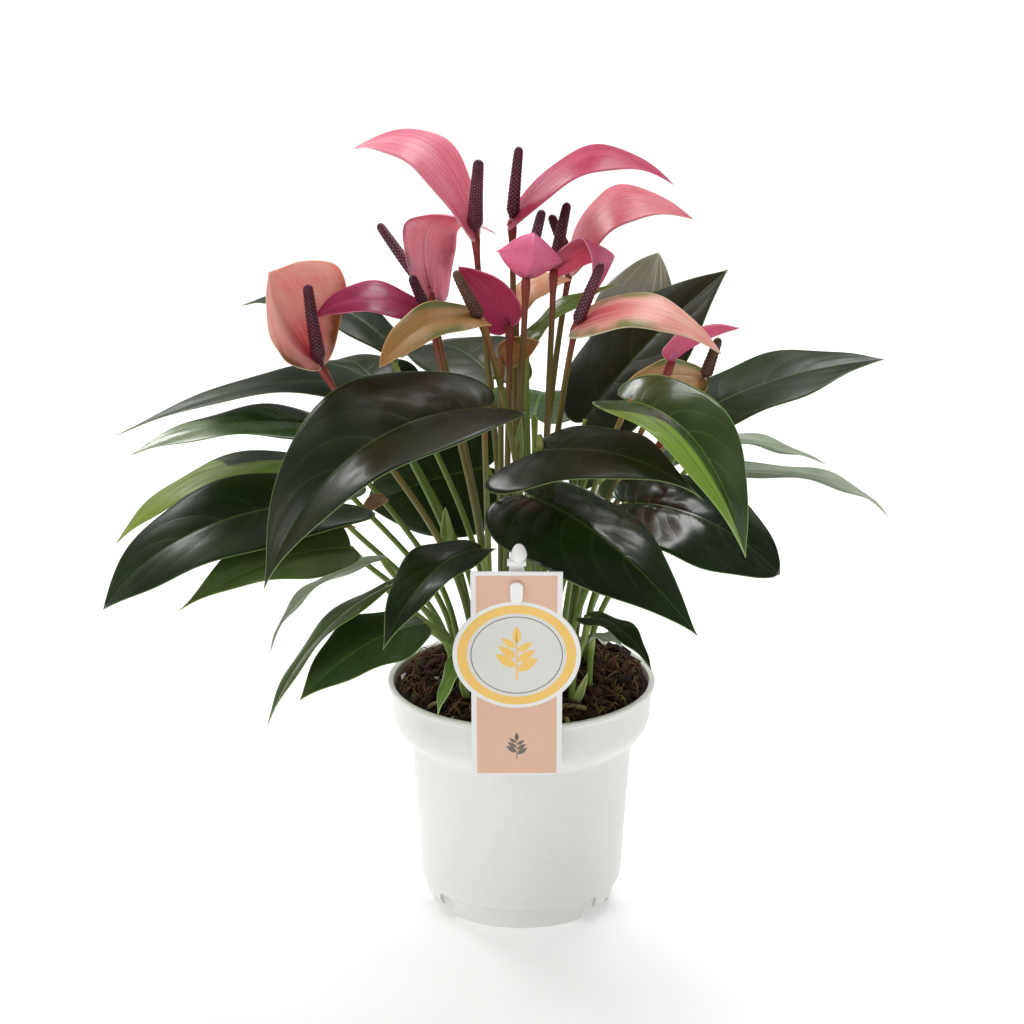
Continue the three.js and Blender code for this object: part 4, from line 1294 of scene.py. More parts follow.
BLOOMS = [
    bloom(1, SALMON, (-21, -5), (-87, -14, 255), (-108, -21, 298), 64, -5, (-91, -27, 294), fold=24,
          curl=12, base=0.9, taper=0.5, face=(0.75, -0.6, 0.3), rod=3.3),
    bloom(2, MAGENTA, (-14, 2), (-39, -4, 273), (-90, -14, 275), 28, 11, (-47, -16, 295), lead=0.6, fold=5,
          face=(0, -0.3, 1)),
    bloom(3, PINK, (-7, 3), (-20, 0, 311), (-73, 12, 344), 38, 21, (-18, -28, 348), lead=0.62, base=0.9,
          face=(0.3, -0.25, 0.85), rod=3.5),
    bloom(4, PINK_PAINTED_LIT, (-14, 9), (-40, 16, 279), (-11, 14, 306), 56, 24, (-63, 36, 305), lead=0.5,
          face=(-0.45, 0.5, 0.75)),
    bloom(5, ROSE, (-2, 14), (-4, 14, 312), (66, 18, 327), 36, 21, (-1, 8, 346), lead=0.6, base=0.8,
          face=(0, -0.1, 1)),
    bloom(6, CORAL, (7, 17), (22, 40, 287), (76, 40, 306), 44, 20, (13, 32, 310), (14, 38, 238), lead=0.5,
          base=0.6, face=(0, -0.2, 1)),
    bloom(7, HOT, (-4, -4), (2, -16, 294), (5, -11, 313), 33, -7, (9, -3, 321), fold=20, curl=15,
          base=0.7, taper=0.6, face=(-0.1, 0.95, 0.2)),
    bloom(8, HOT, (9, 5), (14, 3, 293), (29, -12, 283), 30, 21, (20, 14, 320), face=(0.6, 0.1, 0.8)),
    bloom(9, STRIPED, (9, -4), (23, -32, 277), (85, -40, 267), 28, 16, (34, -36, 306), (19, -2, 246),
          face=(0, -0.35, 1)),
    bloom(10, BLUSH, (22, 2), (65, -12, 256), (94, -16, 272), 24, 2, (68, -9, 270), rod=1.7,
          fold=34, face=(-0.3, 0.5, 1)),
    bloom(11, FADED, (4, -8), (-17, -28, 279), (-60, -50, 264), 26, 10, (-28, -34, 302), (-5, -20, 238),
          ripe=True, fold=10, taper=0.8, face=(0, -0.3, 1)),
    bloom(12, FADED, (24, 13), (80, 4, 243), (42, 4, 236), 24, 6, (86, 0, 263), ripe=True,
          face=(0, -0.5, 1)),
    bloom(13, MAGENTA, (-7, -7), (-5, -13, 272), (-27, -15, 299), 21, 5, None, face=(-0.3, 0.8, 0.3)),
    bloom(14, PEACH, (5, 11), (-3, 28, 270), (22, 30, 281), 22, 6, None, face=(0, -0.3, 1)),
    bloom(15, FADED, (-9, -2), (-9, -3, 255), (8, -2, 262), 13, 2, None, face=(0, -1, 0.5)),
    bloom(16, BLUSH, (19, 7), (64, -4, 220), (56, -10, 226), 8, 2, None, (46, 10, 190), face=(0, -0.3, 1)),
]


@dataclass(frozen=True)
class Bract:
    """A small sheath or dry bract on a stem, part of that stem's node."""

    name: str
    node: str
    tone: LeafTone
    blade: Blade
    slot: str = "leaf"

    def build(self, finishes: Finishes) -> None:
        """Makes the bract."""
        draft = Draft()
        self.blade.carve(draft)
        draft.build(self.name, [finishes[self.tone.value.name]], self.slot, self.node)


def bract(
    name: str, node: str, tone: LeafTone, joint: Point, tip: Point, width: float, arch: float,
    slot: str = "leaf", face: Point = (0, -1, 0.2),
) -> Bract:
    """One bract, with the narrow form that they share.

    Args:
        name: Its name.
        node: The CAD node of the stem that it sits on.
        tone: Its finish.
        joint: Its foot.
        tip: Its tip.
        width: Its greatest width.
        arch: How far its middle rises over the line from foot to tip.
        slot: The record's material slot.
        face: The direction that its inner side faces.

    Returns:
        The bract.
    """
    blade = Blade(
        joint, tip, width, arch, face=face, base=0.5, taper=0.9, lobe=0.1, fold=25.0, wave=0.1, rib=0.1,
        sway=0.0, rows=24, half_columns=6,
    )
    return Bract(name, node, tone, blade, slot)


BRACTS = [
    bract("sheath_left", "leaf_01", SHEATH, (-33, 17.5, 162), (-34, 14, 181), 6, 1),
    bract("sheath_middle", "bloom_07_spathe", SHEATH, (-2, -9, 205), (0, -13, 231), 5, -1, HOT.value.slot),
    bract("sheath_right", "leaf_17", SHEATH, (31, -25, 176), (35, -31, 190), 5, 1),
    bract("bract_curled", "leaf_04", HUSK, (-74, -23, 184), (-86, -33, 183), 9, 4, face=(0, -0.6, 1)),
    bract("bract_brown", "leaf_02", HUSK, (-60, 4, 188), (-71, -3, 181), 8, 3, face=(0, -0.6, 1)),
    bract("shoot_left", "leaf_11", SHEATH, (-24, -34, 108), (-27, -40, 126), 4, 1),
    bract("shoot_right", "leaf_21", SHEATH, (24, -38, 108), (29, -44, 124), 4, 1),
    bract("shoot_middle", "leaf_10", SHEATH, (-14, -32, 110), (-16, -38, 131), 4, -1),
]


# Pot and soil


SOIL_TOP = 114
SOIL_EDGE = 102.5
SOIL_REACH = 56.8


def soil_height(x: np.ndarray, y: np.ndarray) -> np.ndarray:
    """The soil's height: a mound that falls to its edge as r^2.2, with lumps of two sine waves."""
    reach = np.minimum(1, np.hypot(x, y) / SOIL_REACH)
    mound = SOIL_TOP + (SOIL_EDGE - SOIL_TOP) * reach**2.2
    lumps = np.sin(0.31 * x + 1.2) * np.cos(0.27 * y + 0.4) + 0.5 * np.sin(0.55 * x - 0.4 * y)
    return mound + 0.8 * lumps * (1 - reach**4)


@dataclass
class NurseryPot:
    """A moulded nursery pot: beaded rim, wide collar, tapered body and a foot cut into arcs and lugs."""

    height: float = 105.0
    rim: float = 60.0
    collar: float = 58.2
    body_top: float = 49.6
    body_bottom: float = 45.4
    foot: float = 41.5
    floor: float = 10.0
    centre_foot: float = 5.0
    lug_bottom: float = 4.5
    wall: float = 1.4
    turns: int = 240
    step: float = 2.5
    recess_middle: float = 267.0
    recess_half_angle: float = 45.0
    notch_half_angle: float = 3.2
    notch_spring: float = 8.6
    hole_radius: float = 4.0
    hole_circle: float = 28.0
    sharp_angle: float = 35.0

    def profile(self) -> np.ndarray:
        """The shell's section, from the centre foot under the floor round the skirt, rim and inside."""
        wall, under = self.wall, self.floor - self.wall
        return rounded([
            (0, 0, 0),
            (self.centre_foot, 0, 0.4),
            (self.centre_foot, under, 0.8),
            (self.body_bottom - 2.4, under, 0.8),
            (self.body_bottom - 4.0, 0, 0.4),
            (self.body_bottom - 2.9, 0, 0.5),
            (self.body_bottom - 1.0, 4.5, 3.0),
            (self.body_bottom, 13, 4.0),
            (self.body_top - 0.05, 77.4, 0.5),
            (self.body_top + 0.45, 78.2, 0.4),
            (self.body_top + 1.6, 78.5, 1.2),
            (54.4, 81.2, 2.6),
            (57.2, 85.6, 3.4),
            (self.collar - 0.1, 91.5, 4.0),
            (self.collar + 0.3, self.height - 3.2, 0.8),
            (self.rim, self.height - 2.5, 0.7),
            (self.rim, self.height, 1.0),
            (self.collar - wall + 0.4, self.height - 0.5, 0.8),
            (self.collar - wall - 0.2, 91.4, 3.0),
            (53.6, 82.6, 3.0),
            (self.body_top - wall, 79, 2.0),
            (self.body_bottom - wall, self.floor, 1.5),
            (0, self.floor, 0),
        ])

    def rings(self) -> np.ndarray:
        """The section carried round, its skirt drawn in over three arcs and cut shorter between them."""
        profile = self.profile()[1:-1]
        fine = [profile[:1]]
        for before, after in zip(profile[:-1], profile[1:]):
            parts = max(1, int(np.linalg.norm(after - before) / self.step))
            share = np.linspace(0, 1, parts + 1)[1:, None]
            fine.append(before + (after - before) * share)
        section = np.concatenate(fine)
        radius, height = section[:, :1], section[:, 1:]
        angle = np.linspace(0, 2 * math.pi, self.turns, endpoint=False)
        within = np.abs((np.degrees(angle) - self.recess_middle + 60) % 120 - 60)
        recess = smooth(self.recess_half_angle + 3.0, self.recess_half_angle - 1.5, within)
        skirt = smooth(30.0, 38.0, radius)
        pull = np.interp(height, [0, 4.5, 8.5, 11.2], [1.9, 2.8, 3.5, 0.0]) * skirt
        lift = self.lug_bottom * np.clip(1 - height / self.floor, 0, 1) * skirt * (1 - recess)
        return turned(radius - pull * recess, height + lift, angle)

    def notch(self, at: float) -> Shell:
        """An arch-topped block that cuts one drain opening in the skirt.

        Args:
            at: Its angle about Z in radians.

        Returns:
            Its points and faces.
        """
        half = self.body_bottom * math.radians(self.notch_half_angle)
        angle = np.linspace(0, math.pi, 9)
        arch = np.stack([half * np.cos(angle), self.notch_spring + half * np.sin(angle)], axis=-1)
        outline = np.concatenate([[[half + 0.6, -1.0]], arch, [[-half - 0.6, -1.0]]])
        along = np.array([math.cos(at), math.sin(at), 0])
        across = np.array([-math.sin(at), math.cos(at), 0])
        flat = across * outline[:, :1] + np.array([0, 0, 1]) * outline[:, 1:]
        inner, outer = along * (self.foot - 3), along * (self.body_top + 3)
        middle = flat.mean(0)
        return close_rings(np.stack([flat + inner, flat + outer]), middle + inner, middle + outer)

    def cutters(self) -> bpy.types.Object:
        """The blocks that cut the drain openings in the skirt and the holes in the floor."""
        draft = Draft()
        for third in range(3):
            for side in (-1, 1):
                beside = side * (self.recess_half_angle + self.notch_half_angle + 0.5)
                draft.add(*self.notch(math.radians(self.recess_middle + 120 * third + beside)))
        low, high = self.floor - 5, self.floor + 3
        points, faces = revolved(
            np.array([[0, low], [self.hole_radius, low], [self.hole_radius, high], [0, high]]), 32
        )
        for hole in range(6):
            turn = 2 * math.pi * hole / 6
            middle = [self.hole_circle * math.cos(turn), self.hole_circle * math.sin(turn), 0]
            draft.add(points + middle, faces)
        mesh = bpy.data.meshes.new("cutters")
        corners = [tuple(face) for block in draft.faces for face in block.tolist()]
        mesh.from_pydata((np.concatenate(draft.points) * MM).tolist(), [], corners)
        mesh.update()
        made = bpy.data.objects.new("cutters", mesh)
        bpy.context.scene.collection.objects.link(made)
        return made

    def build(self, finishes: Finishes) -> None:
        """Makes the pot and cuts its openings."""
        draft = Draft()
        draft.add(*close_rings(self.rings(), [0, 0, 0], [0, 0, self.floor]))
        pot = draft.build("pot_shell", [finishes["pot_white"]], "pot_plastic", "pot")
        cutters = self.cutters()
        carve = pot.modifiers.new("openings", "BOOLEAN")
        carve.operation = "DIFFERENCE"
        carve.solver = "EXACT"
        carve.object = cutters
        bpy.context.view_layer.update()
        cut = bpy.data.meshes.new_from_object(pot.evaluated_get(bpy.context.evaluated_depsgraph_get()))
        pot.modifiers.remove(carve)
        bpy.data.objects.remove(cutters)
        pot.data = cut
        cut.set_sharp_from_angle(angle=math.radians(self.sharp_angle))


@dataclass
class PottingSoil:
    """Peat and coconut fibre: a lumpy bed with crumbs, fibres, white grains, moss and root ends."""

    radius: float = 56.0
    wall: tuple[Place, ...] = ((43.6, 10.4), (47.8, 79.4), (53.2, 83.0), (56.0, 91.8))
    turns: int = 150
    rings: int = 46
    crumbs: int = 2300
    chunks: int = 300
    fibres: int = 620
    grains: int = 46
    mosses: int = 80
    seed: int = 11

    def top(self, x: np.ndarray, y: np.ndarray) -> np.ndarray:
        """The bed's height with its lumps: the mound plus sine waves of five finer sizes."""
        lumps = np.zeros_like(x)
        for size, turn in ((14.0, 0.3), (8.5, 1.1), (5.2, 2.0), (3.3, 0.7), (2.1, 2.6)):
            along = (x * math.cos(turn) + y * math.sin(turn)) * 2 * math.pi / size
            across = (-x * math.sin(turn) + y * math.cos(turn)) * 2 * math.pi / size
            lumps += 0.085 * size * np.sin(along + np.sin(across * 0.7)) * np.cos(across + turn)
        edge = smooth(1.0, 0.9, np.hypot(x, y) / self.radius)
        return soil_height(x, y) - 0.9 + 1.15 * lumps * (0.35 + 0.65 * edge)

    def bed(self) -> Draft:
        """The bed: a disc of rings over the pot's inner wall."""
        angle = np.linspace(0, 2 * math.pi, self.turns, endpoint=False)
        reach = self.radius * np.linspace(1, 0.02, self.rings)[:, None]
        x, y = reach * np.cos(angle), reach * np.sin(angle)
        wall = np.array(self.wall)
        side = turned(wall[:, :1], wall[:, 1:], angle)
        rings = np.concatenate([side, turned(reach, self.top(x, y), angle)])
        draft = Draft()
        draft.add(*close_rings(rings, [0, 0, self.wall[0][1]], [0, 0, float(soil_height(0.0, 0.0))]))
        return draft

    def lumps(self, count: int, low: float, high: float, sink: float, seed: int, slots: int = 1) -> Draft:
        """Irregular crumbs: icosahedra whose corners are drawn in and out, stretched and turned.

        Args:
            count: How many.
            low: Their least size.
            high: Their greatest size.
            sink: How much of their size is under the bed.
            seed: Start of the random draws.
            slots: Over how many materials they are spread.

        Returns:
            The draft.
        """
        draws = np.random.default_rng(seed)
        far = (1 + math.sqrt(5)) / 2
        corners = unit(np.array([
            (-1, far, 0), (1, far, 0), (-1, -far, 0), (1, -far, 0), (0, -1, far), (0, 1, far),
            (0, -1, -far), (0, 1, -far), (far, 0, -1), (far, 0, 1), (-far, 0, -1), (-far, 0, 1),
        ]))
        triangles = np.array([
            (0, 11, 5), (0, 5, 1), (0, 1, 7), (0, 7, 10), (0, 10, 11), (1, 5, 9), (5, 11, 4),
            (11, 10, 2), (10, 7, 6), (7, 1, 8), (3, 9, 4), (3, 4, 2), (3, 2, 6), (3, 6, 8), (3, 8, 9),
            (4, 9, 5), (2, 4, 11), (6, 2, 10), (8, 6, 7), (9, 8, 1),
        ])
        reach = (self.radius - 2.5) * np.sqrt(draws.uniform(0, 1, count))
        turn = draws.uniform(0, 2 * math.pi, count)
        x, y = reach * np.cos(turn), reach * np.sin(turn)
        size = low + (high - low) * draws.uniform(0, 1, count) ** 2.5
        stretch = draws.uniform(0.4, 1.7, (count, 1, 3))
        shape = corners[None] * draws.uniform(0.45, 1.35, (count, 12, 1)) * stretch
        axis = unit(draws.normal(size=(count, 3)))
        other = unit(np.cross(axis, draws.normal(size=(count, 3))))
        axes = np.stack([axis, other, np.cross(axis, other)], axis=1)
        shape = np.einsum("nij,njk->nik", shape, axes) * size[:, None, None] / 2
        middle = np.stack([x, y, self.top(x, y) + size * (0.5 - sink)], axis=-1)
        return self.spread(shape + middle[:, None, :], triangles, draws.integers(0, slots, count), slots)

    def spread(self, points: np.ndarray, faces: np.ndarray, kind: np.ndarray, slots: int) -> Draft:
        """Gathers many like shapes into one draft, by the material that each takes.

        Args:
            points: Points by shape.
            faces: Corner numbers of one shape.
            kind: The number of each shape's material.
            slots: How many materials there are.

        Returns:
            The draft.
        """
        draft = Draft()
        for slot in range(slots):
            chosen = points[kind == slot]
            every = faces[None] + points.shape[1] * np.arange(len(chosen))[:, None, None]
            draft.add(chosen, [every.reshape(-1, faces.shape[1])], slot=slot)
        return draft

    def threads(
        self, count: int, length: Place, thick: Place, seed: int, ring: float = 0.0, slots: int = 1
    ) -> Draft:
        """Curved fibres of four sides, lying on the bed: P + l t d + bow cos(pi t) n, lifted a little.

        Args:
            count: How many.
            length: Their shortest and longest length.
            thick: Their thinnest and thickest radius.
            seed: Start of the random draws.
            ring: Least distance from the middle, as a share of the radius.
            slots: Over how many materials they are spread.

        Returns:
            The draft.
        """
        steps, sides = 9, 4
        draws = np.random.default_rng(seed)
        reach = (self.radius - 3) * np.sqrt(draws.uniform(ring**2, 1, count))
        where = draws.uniform(0, 2 * math.pi, count)
        turn = draws.uniform(0, 2 * math.pi, count)[:, None]
        size = draws.uniform(*length, count)[:, None]
        bend = draws.normal(0, 0.28, count)[:, None] * size
        lift = draws.uniform(0.0, 0.32, count)[:, None] * size
        radius = draws.uniform(*thick, count)[:, None]
        t = np.linspace(-0.5, 0.5, steps)
        arc = np.cos(math.pi * t)
        x = (reach * np.cos(where))[:, None] + np.cos(turn) * size * t - np.sin(turn) * bend * arc
        y = (reach * np.sin(where))[:, None] + np.sin(turn) * size * t + np.cos(turn) * bend * arc
        pull = np.minimum(1, (self.radius - 1.2) / np.maximum(np.hypot(x, y), 1e-6))
        x, y = x * pull, y * pull
        z = self.top(x, y) + 0.3 + lift * arc + 0.05 * size * np.sin(9 * t + turn)
        path = np.stack([x, y, z], axis=-1)
        forward = unit(np.gradient(path, axis=1))
        side = unit(np.cross(forward, [0, 0, 1]))
        angle = np.array([0.25, 0.75, 1.25, 1.75]) * math.pi
        thin = radius * (1 - 0.55 * np.abs(2 * t) ** 2)
        points = around(path, thin[..., None], side, np.cross(side, forward), angle)
        first = np.arange(sides)
        ends = np.array([first[::-1], first + (steps - 1) * sides])
        faces = np.concatenate([grid_faces(steps, sides, wrap=True), ends])[:, ::-1]
        kind = draws.integers(0, slots, count)
        return self.spread(points.reshape(count, steps * sides, 3), faces, kind, slots)

    def roots(self) -> Draft:
        """A few thick root ends that come up near the stems and dip back in."""
        draft = Draft()
        for start, over, end, radius in (
            ((14, -40), (24, -45, 112), (33, -40), 1.1),
            ((18, -47), (21, -50, 109), (20, -54), 1.0),
            ((-30, -34), (-37, -38, 110), (-42, -32), 0.9),
            ((-8, 40), (4, 46, 112), (14, 42), 1.1),
            ((36, 18), (43, 22, 110), (42, 32), 0.9),
        ):
            low, far = (np.array([x, y, float(self.top(np.array(float(x)), float(y))) - 2])
                        for x, y in (start, end))
            t = np.linspace(0, 1, 18)[:, None]
            path = bow(low, np.array(over, float), far, t)
            radii = radius * (1 + 0.12 * np.sin(11 * t[:, 0]))
            draft.add(*tube(path, radii, 10, np.array([0.05, 0.1, 1.0])))
        return draft

    def build(self, finishes: Finishes) -> None:
        """Makes the bed and all that lies on it."""
        earth, seed = ("earth_dark", "earth_brown", "earth_red"), self.seed
        fibres = self.threads(self.fibres, (6, 20), (0.16, 0.42), seed + 1, slots=2)
        moss = self.threads(self.mosses, (3, 8), (0.2, 0.45), seed + 3, ring=0.85)
        for name, draft, kinds in (
            ("soil_bed", self.bed(), ("earth_bed",)),
            ("soil_crumbs", self.lumps(self.crumbs, 0.9, 5.0, 0.35, seed, 3), earth),
            ("soil_chunks", self.lumps(self.chunks, 3.0, 8.0, 0.38, seed + 7, 3), earth),
            ("soil_fibres", fibres, ("fibre_brown", "fibre_tan")),
            ("soil_grains", self.lumps(self.grains, 1.2, 3.0, 0.3, seed + 2), ("perlite",)),
            ("soil_moss", moss, ("moss",)),
            ("soil_roots", self.roots(), ("root",)),
        ):
            draft.build(name, [finishes[kind] for kind in kinds], "potting_soil", "soil")


# Card and stake


@dataclass(frozen=True)
class Sheet:
    """A flat drawing, x to the right, y up and z out to the front, whose top leans forward in degrees."""

    lean: float
    origin: Point
    slot: str
    node: str

    def up(self) -> np.ndarray:
        """The direction of the drawing's y."""
        angle = math.radians(self.lean)
        return np.array([0, -math.sin(angle), math.cos(angle)])

    def matrix(self) -> Matrix:
        """The matrix from the drawing to its place."""
        up = self.up()
        made = np.eye(4)
        made[:3] = np.stack([[1, 0, 0], up, [0, -up[2], up[1]], self.origin], axis=1)
        return Matrix(made.tolist())

    def plate(
        self, name: str, outlines: list[np.ndarray], low: float, high: float, bevel: float,
        material: bpy.types.Material,
    ) -> None:
        """Makes a flat piece from closed outlines, inner ones being holes, with rounded edges.

        Args:
            name: The object's name.
            outlines: Points of each outline, in the drawing.
            low: Height of its back over the drawing.
            high: Height of its front over the drawing.
            bevel: Rounding of its edges.
            material: Its material.
        """
        curve = bpy.data.curves.new(name, "CURVE")
        curve.dimensions = "2D"
        curve.fill_mode = "BOTH"
        curve.extrude = (high - low) / 2 - bevel
        curve.bevel_depth = bevel
        curve.bevel_resolution = 2
        curve.offset = -bevel
        for outline in outlines:
            spline = curve.splines.new("POLY")
            spline.points.add(len(outline) - 1)
            rows = np.pad(np.asarray(outline, float), ((0, 0), (0, 2)))
            rows[:, 3] = 1
            spline.points.foreach_set("co", rows.astype(np.float32).ravel())
            spline.use_cyclic_u = True
        holder = bpy.data.objects.new(name + "_curve", curve)
        mesh = bpy.data.meshes.new_from_object(holder)
        bpy.data.objects.remove(holder)
        mesh.name = name
        for step in (Matrix.Translation((0, 0, (low + high) / 2)), self.matrix(), Matrix.Scale(MM, 4)):
            mesh.transform(step)
        mesh.materials.clear()
        install(bpy.data.objects.new(name, mesh), [material], self.node)


def box(left: float, low: float, right: float, high: float) -> np.ndarray:
    """The outline of a rectangle."""
    return np.array([[left, low], [right, low], [right, high], [left, high]])


def arc(radius: float, start: float, end: float, middle: Place, count: int = 48) -> np.ndarray:
    """Points of an arc between two angles in radians."""
    turn = np.linspace(start, end, count)
    return np.stack([middle[0] + radius * np.cos(turn), middle[1] + radius * np.sin(turn)], axis=-1)


@dataclass
class HangCard:
    """The hang card: a strip with a round plate across it, and plain printed fields."""

    width: float = 39.0
    height: float = 104.0
    thickness: float = 0.8
    lean: float = 13.0
    disc: float = 27.4
    disc_height: float = 62.0
    foot: Point = (-2.0, -59.9, 83.5)
    border: float = 2.3
    ink: float = 0.06

    @property
    def sheet(self) -> Sheet:
        """The card's drawing, with its origin at the card's foot."""
        return Sheet(self.lean, self.foot, "tag_card", "tag_card")

    @property
    def middle(self) -> Place:
        """The round plate's middle in the drawing."""
        return 0.0, self.disc_height

    def circle(self, radius: float) -> np.ndarray:
        """Points of a circle round the plate's middle."""
        return arc(radius, 0, 2 * math.pi, self.middle, 97)[:-1]

    def outline(self) -> np.ndarray:
        """The card's outline."""
        half = self.width / 2
        meet = math.acos(half / self.disc)
        return np.concatenate([
            [[-half, 0], [half, 0]],
            arc(self.disc, -meet, meet, self.middle),
            [[half, self.height], [-half, self.height]],
            arc(self.disc, math.pi - meet, math.pi + meet, self.middle),
        ])

    def panel(self, end: float, upper: bool) -> np.ndarray:
        """A coloured panel of the strip that stops in an arc round the plate.

        Args:
            end: The height of its straight end.
            upper: Whether it lies over the plate.

        Returns:
            Its outline.
        """
        half = self.width / 2 - self.border
        radius = self.disc - 0.2
        angle = math.acos(half / radius)
        if upper:
            return np.concatenate([
                [[half, end], [-half, end]], arc(radius, math.pi - angle, angle, self.middle)
            ])
        return np.concatenate([
            [[-half, end], [half, end]], arc(radius, -angle, angle - math.pi, self.middle)
        ])

    def leaflet(self, foot: Place, length: float, width: float, turn: float) -> np.ndarray:
        """A lance-shaped leaf: half width w sin(pi t^0.8) at t of its length.

        Args:
            foot: Where it starts.
            length: Its length.
            width: Its greatest width.
            turn: Its direction, in degrees from the drawing's x.

        Returns:
            Its outline.
        """
        t = np.linspace(0, 1, 22)
        half = width / 2 * np.sin(math.pi * t**0.8)
        line = np.concatenate([np.stack([length * t, half], -1), np.stack([length * t, -half], -1)[-2:0:-1]])
        angle = math.radians(turn)
        spin = np.array([[math.cos(angle), math.sin(angle)], [-math.sin(angle), math.cos(angle)]])
        return line @ spin + np.array(foot)

    def build(self, finishes: Finishes) -> None:
        """Makes the card and its printed fields."""
        half, low, high = 2.3, self.height - 10.6, self.height - 8.6
        clockwise = [0, 3, 2, 1]
        hole = box(-half, low, half, high)[clockwise]
        wide_hole = box(-half - 0.2, low - 0.2, half + 0.2, high + 0.2)[clockwise]
        face = self.thickness
        self.sheet.plate("card_board", [self.outline(), hole], 0, face, 0.12, finishes["card_white"])
        for name, outlines, finish in (
            ("card_panel_low", [self.panel(0.4, False)], "card_peach"),
            ("card_panel_high", [self.panel(self.height - 1.8, True), wide_hole], "card_peach"),
            ("card_ring", [self.circle(25.4), self.circle(21.3)], "card_yellow"),
            ("card_plate", [self.circle(21.1), self.circle(19.9)], "card_pale"),
            ("card_line", [self.circle(19.7), self.circle(19.3)], "card_grey"),
            ("card_plate_middle", [self.circle(19.1)], "card_pale"),
        ):
            self.sheet.plate(name, outlines, face - 0.02, face + self.ink, 0.01, finishes[finish])
        low, high = face + self.ink - 0.02, face + 2 * self.ink
        self.sprig("card_sprig", self.disc_height - 13, 1.0, low, high, finishes["card_yellow"])
        self.sprig("card_twig", 8.0, 0.5, low - self.ink, high - self.ink + 0.02, finishes["card_grey"])

    def sprig(
        self, name: str, y: float, scale: float, low: float, high: float, material: bpy.types.Material
    ) -> None:
        """A plain sprig of seven leaves on a stem.

        Args:
            name: Start of its pieces' names.
            y: Height of its foot in the drawing.
            scale: Its size.
            low: Height of its back over the drawing.
            high: Height of its front over the drawing.
            material: Its material.
        """
        shapes = [np.array([[-0.35, 0], [0.35, 0], [0.25, 25], [-0.25, 25]]) * scale + [0, y]]
        for index, height in enumerate((5, 10, 15)):
            size = (11 - 1.6 * index) * scale
            shapes.append(self.leaflet((0.5 * scale, y + height * scale), size, size * 0.42, 38))
            shapes.append(self.leaflet((-0.5 * scale, y + (height + 2) * scale), size, size * 0.42, 142))
        shapes.append(self.leaflet((0.0, y + 19 * scale), 9 * scale, 3.6 * scale, 90))
        for index, shape in enumerate(shapes):
            self.sheet.plate("%s_%d" % (name, index), [shape], low, high, 0.01, material)


@dataclass
class Stake:
    """The card's stake: a strip behind the card, a bar and a knob over it and a tongue in front."""

    card: HangCard
    lean: float = 19.0

    def build(self, finishes: Finishes) -> None:
        """Makes the stake, hung on the card's top edge."""
        white, slot, node = finishes["stake_white"], "stake_plastic", "tag_stake"
        top = np.array(self.card.foot) + self.card.sheet.up() * (self.card.height + 2)
        leaning, flat = (Sheet(lean, tuple(top), slot, node) for lean in (self.lean, self.card.lean))
        strip = np.array([[-3, 3], [-3, -108], [-0.8, -119], [0.8, -119], [3, -108], [3, 3]])
        rib = np.array([[-0.5, 1], [-0.5, -112], [0.5, -112], [0.5, 1]])
        turn = np.linspace(0, math.pi, 13)
        lower = np.stack([2.6 * np.cos(turn + math.pi), -14.6 + 2.2 * np.sin(turn + math.pi)], -1)
        upper = np.stack([2.8 * np.cos(turn), -8.6 + 2.2 * np.sin(turn)], -1)
        tongue = np.concatenate([lower, upper])
        for name, sheet, outline, low, high, bevel in (
            ("stake_strip", leaning, strip, -3.0, -1.4, 0.35),
            ("stake_rib", leaning, rib, -3.4, -2.6, 0.3),
            ("stake_bar", flat, box(-4, 0.3, 4, 2.7), -2.4, 0.0, 0.35),
            ("stake_tongue", flat, tongue, 1.25, 2.45, 0.35),
            ("stake_bridge", flat, box(-2.2, -12.5, 2.2, -10.8), -2.6, 1.8, 0.2),
        ):
            sheet.plate(name, [outline], low, high, bevel, white)
        points, faces = revolved(rounded([
            (0, -0.4, 0), (2.3, -0.4, 0.2), (1.6, 0.5, 0.3), (2.0, 1.0, 0.4), (3.6, 2.6, 1.2),
            (3.1, 5.6, 1.8), (1.6, 8.2, 1.2), (0, 8.6, 0),
        ]), 40)
        spin = np.array(Matrix.Rotation(math.radians(self.card.lean), 3, "X"))
        draft = Draft()
        draft.add(points @ spin.T + top + [1.0, 0.6, 2.2], faces)
        draft.build("stake_knob", [white], slot, node)


# Studio


def stand(name: str, data: bpy.types.ID, place: Vector, way: Vector) -> bpy.types.Object:
    """Puts a camera or a light at a place, facing along a direction."""
    made = bpy.data.objects.new(name, data)
    made.location = place
    made.rotation_mode = "QUATERNION"
    made.rotation_quaternion = way.to_track_quat("-Z", "Y")
    bpy.context.scene.collection.objects.link(made)
    return made


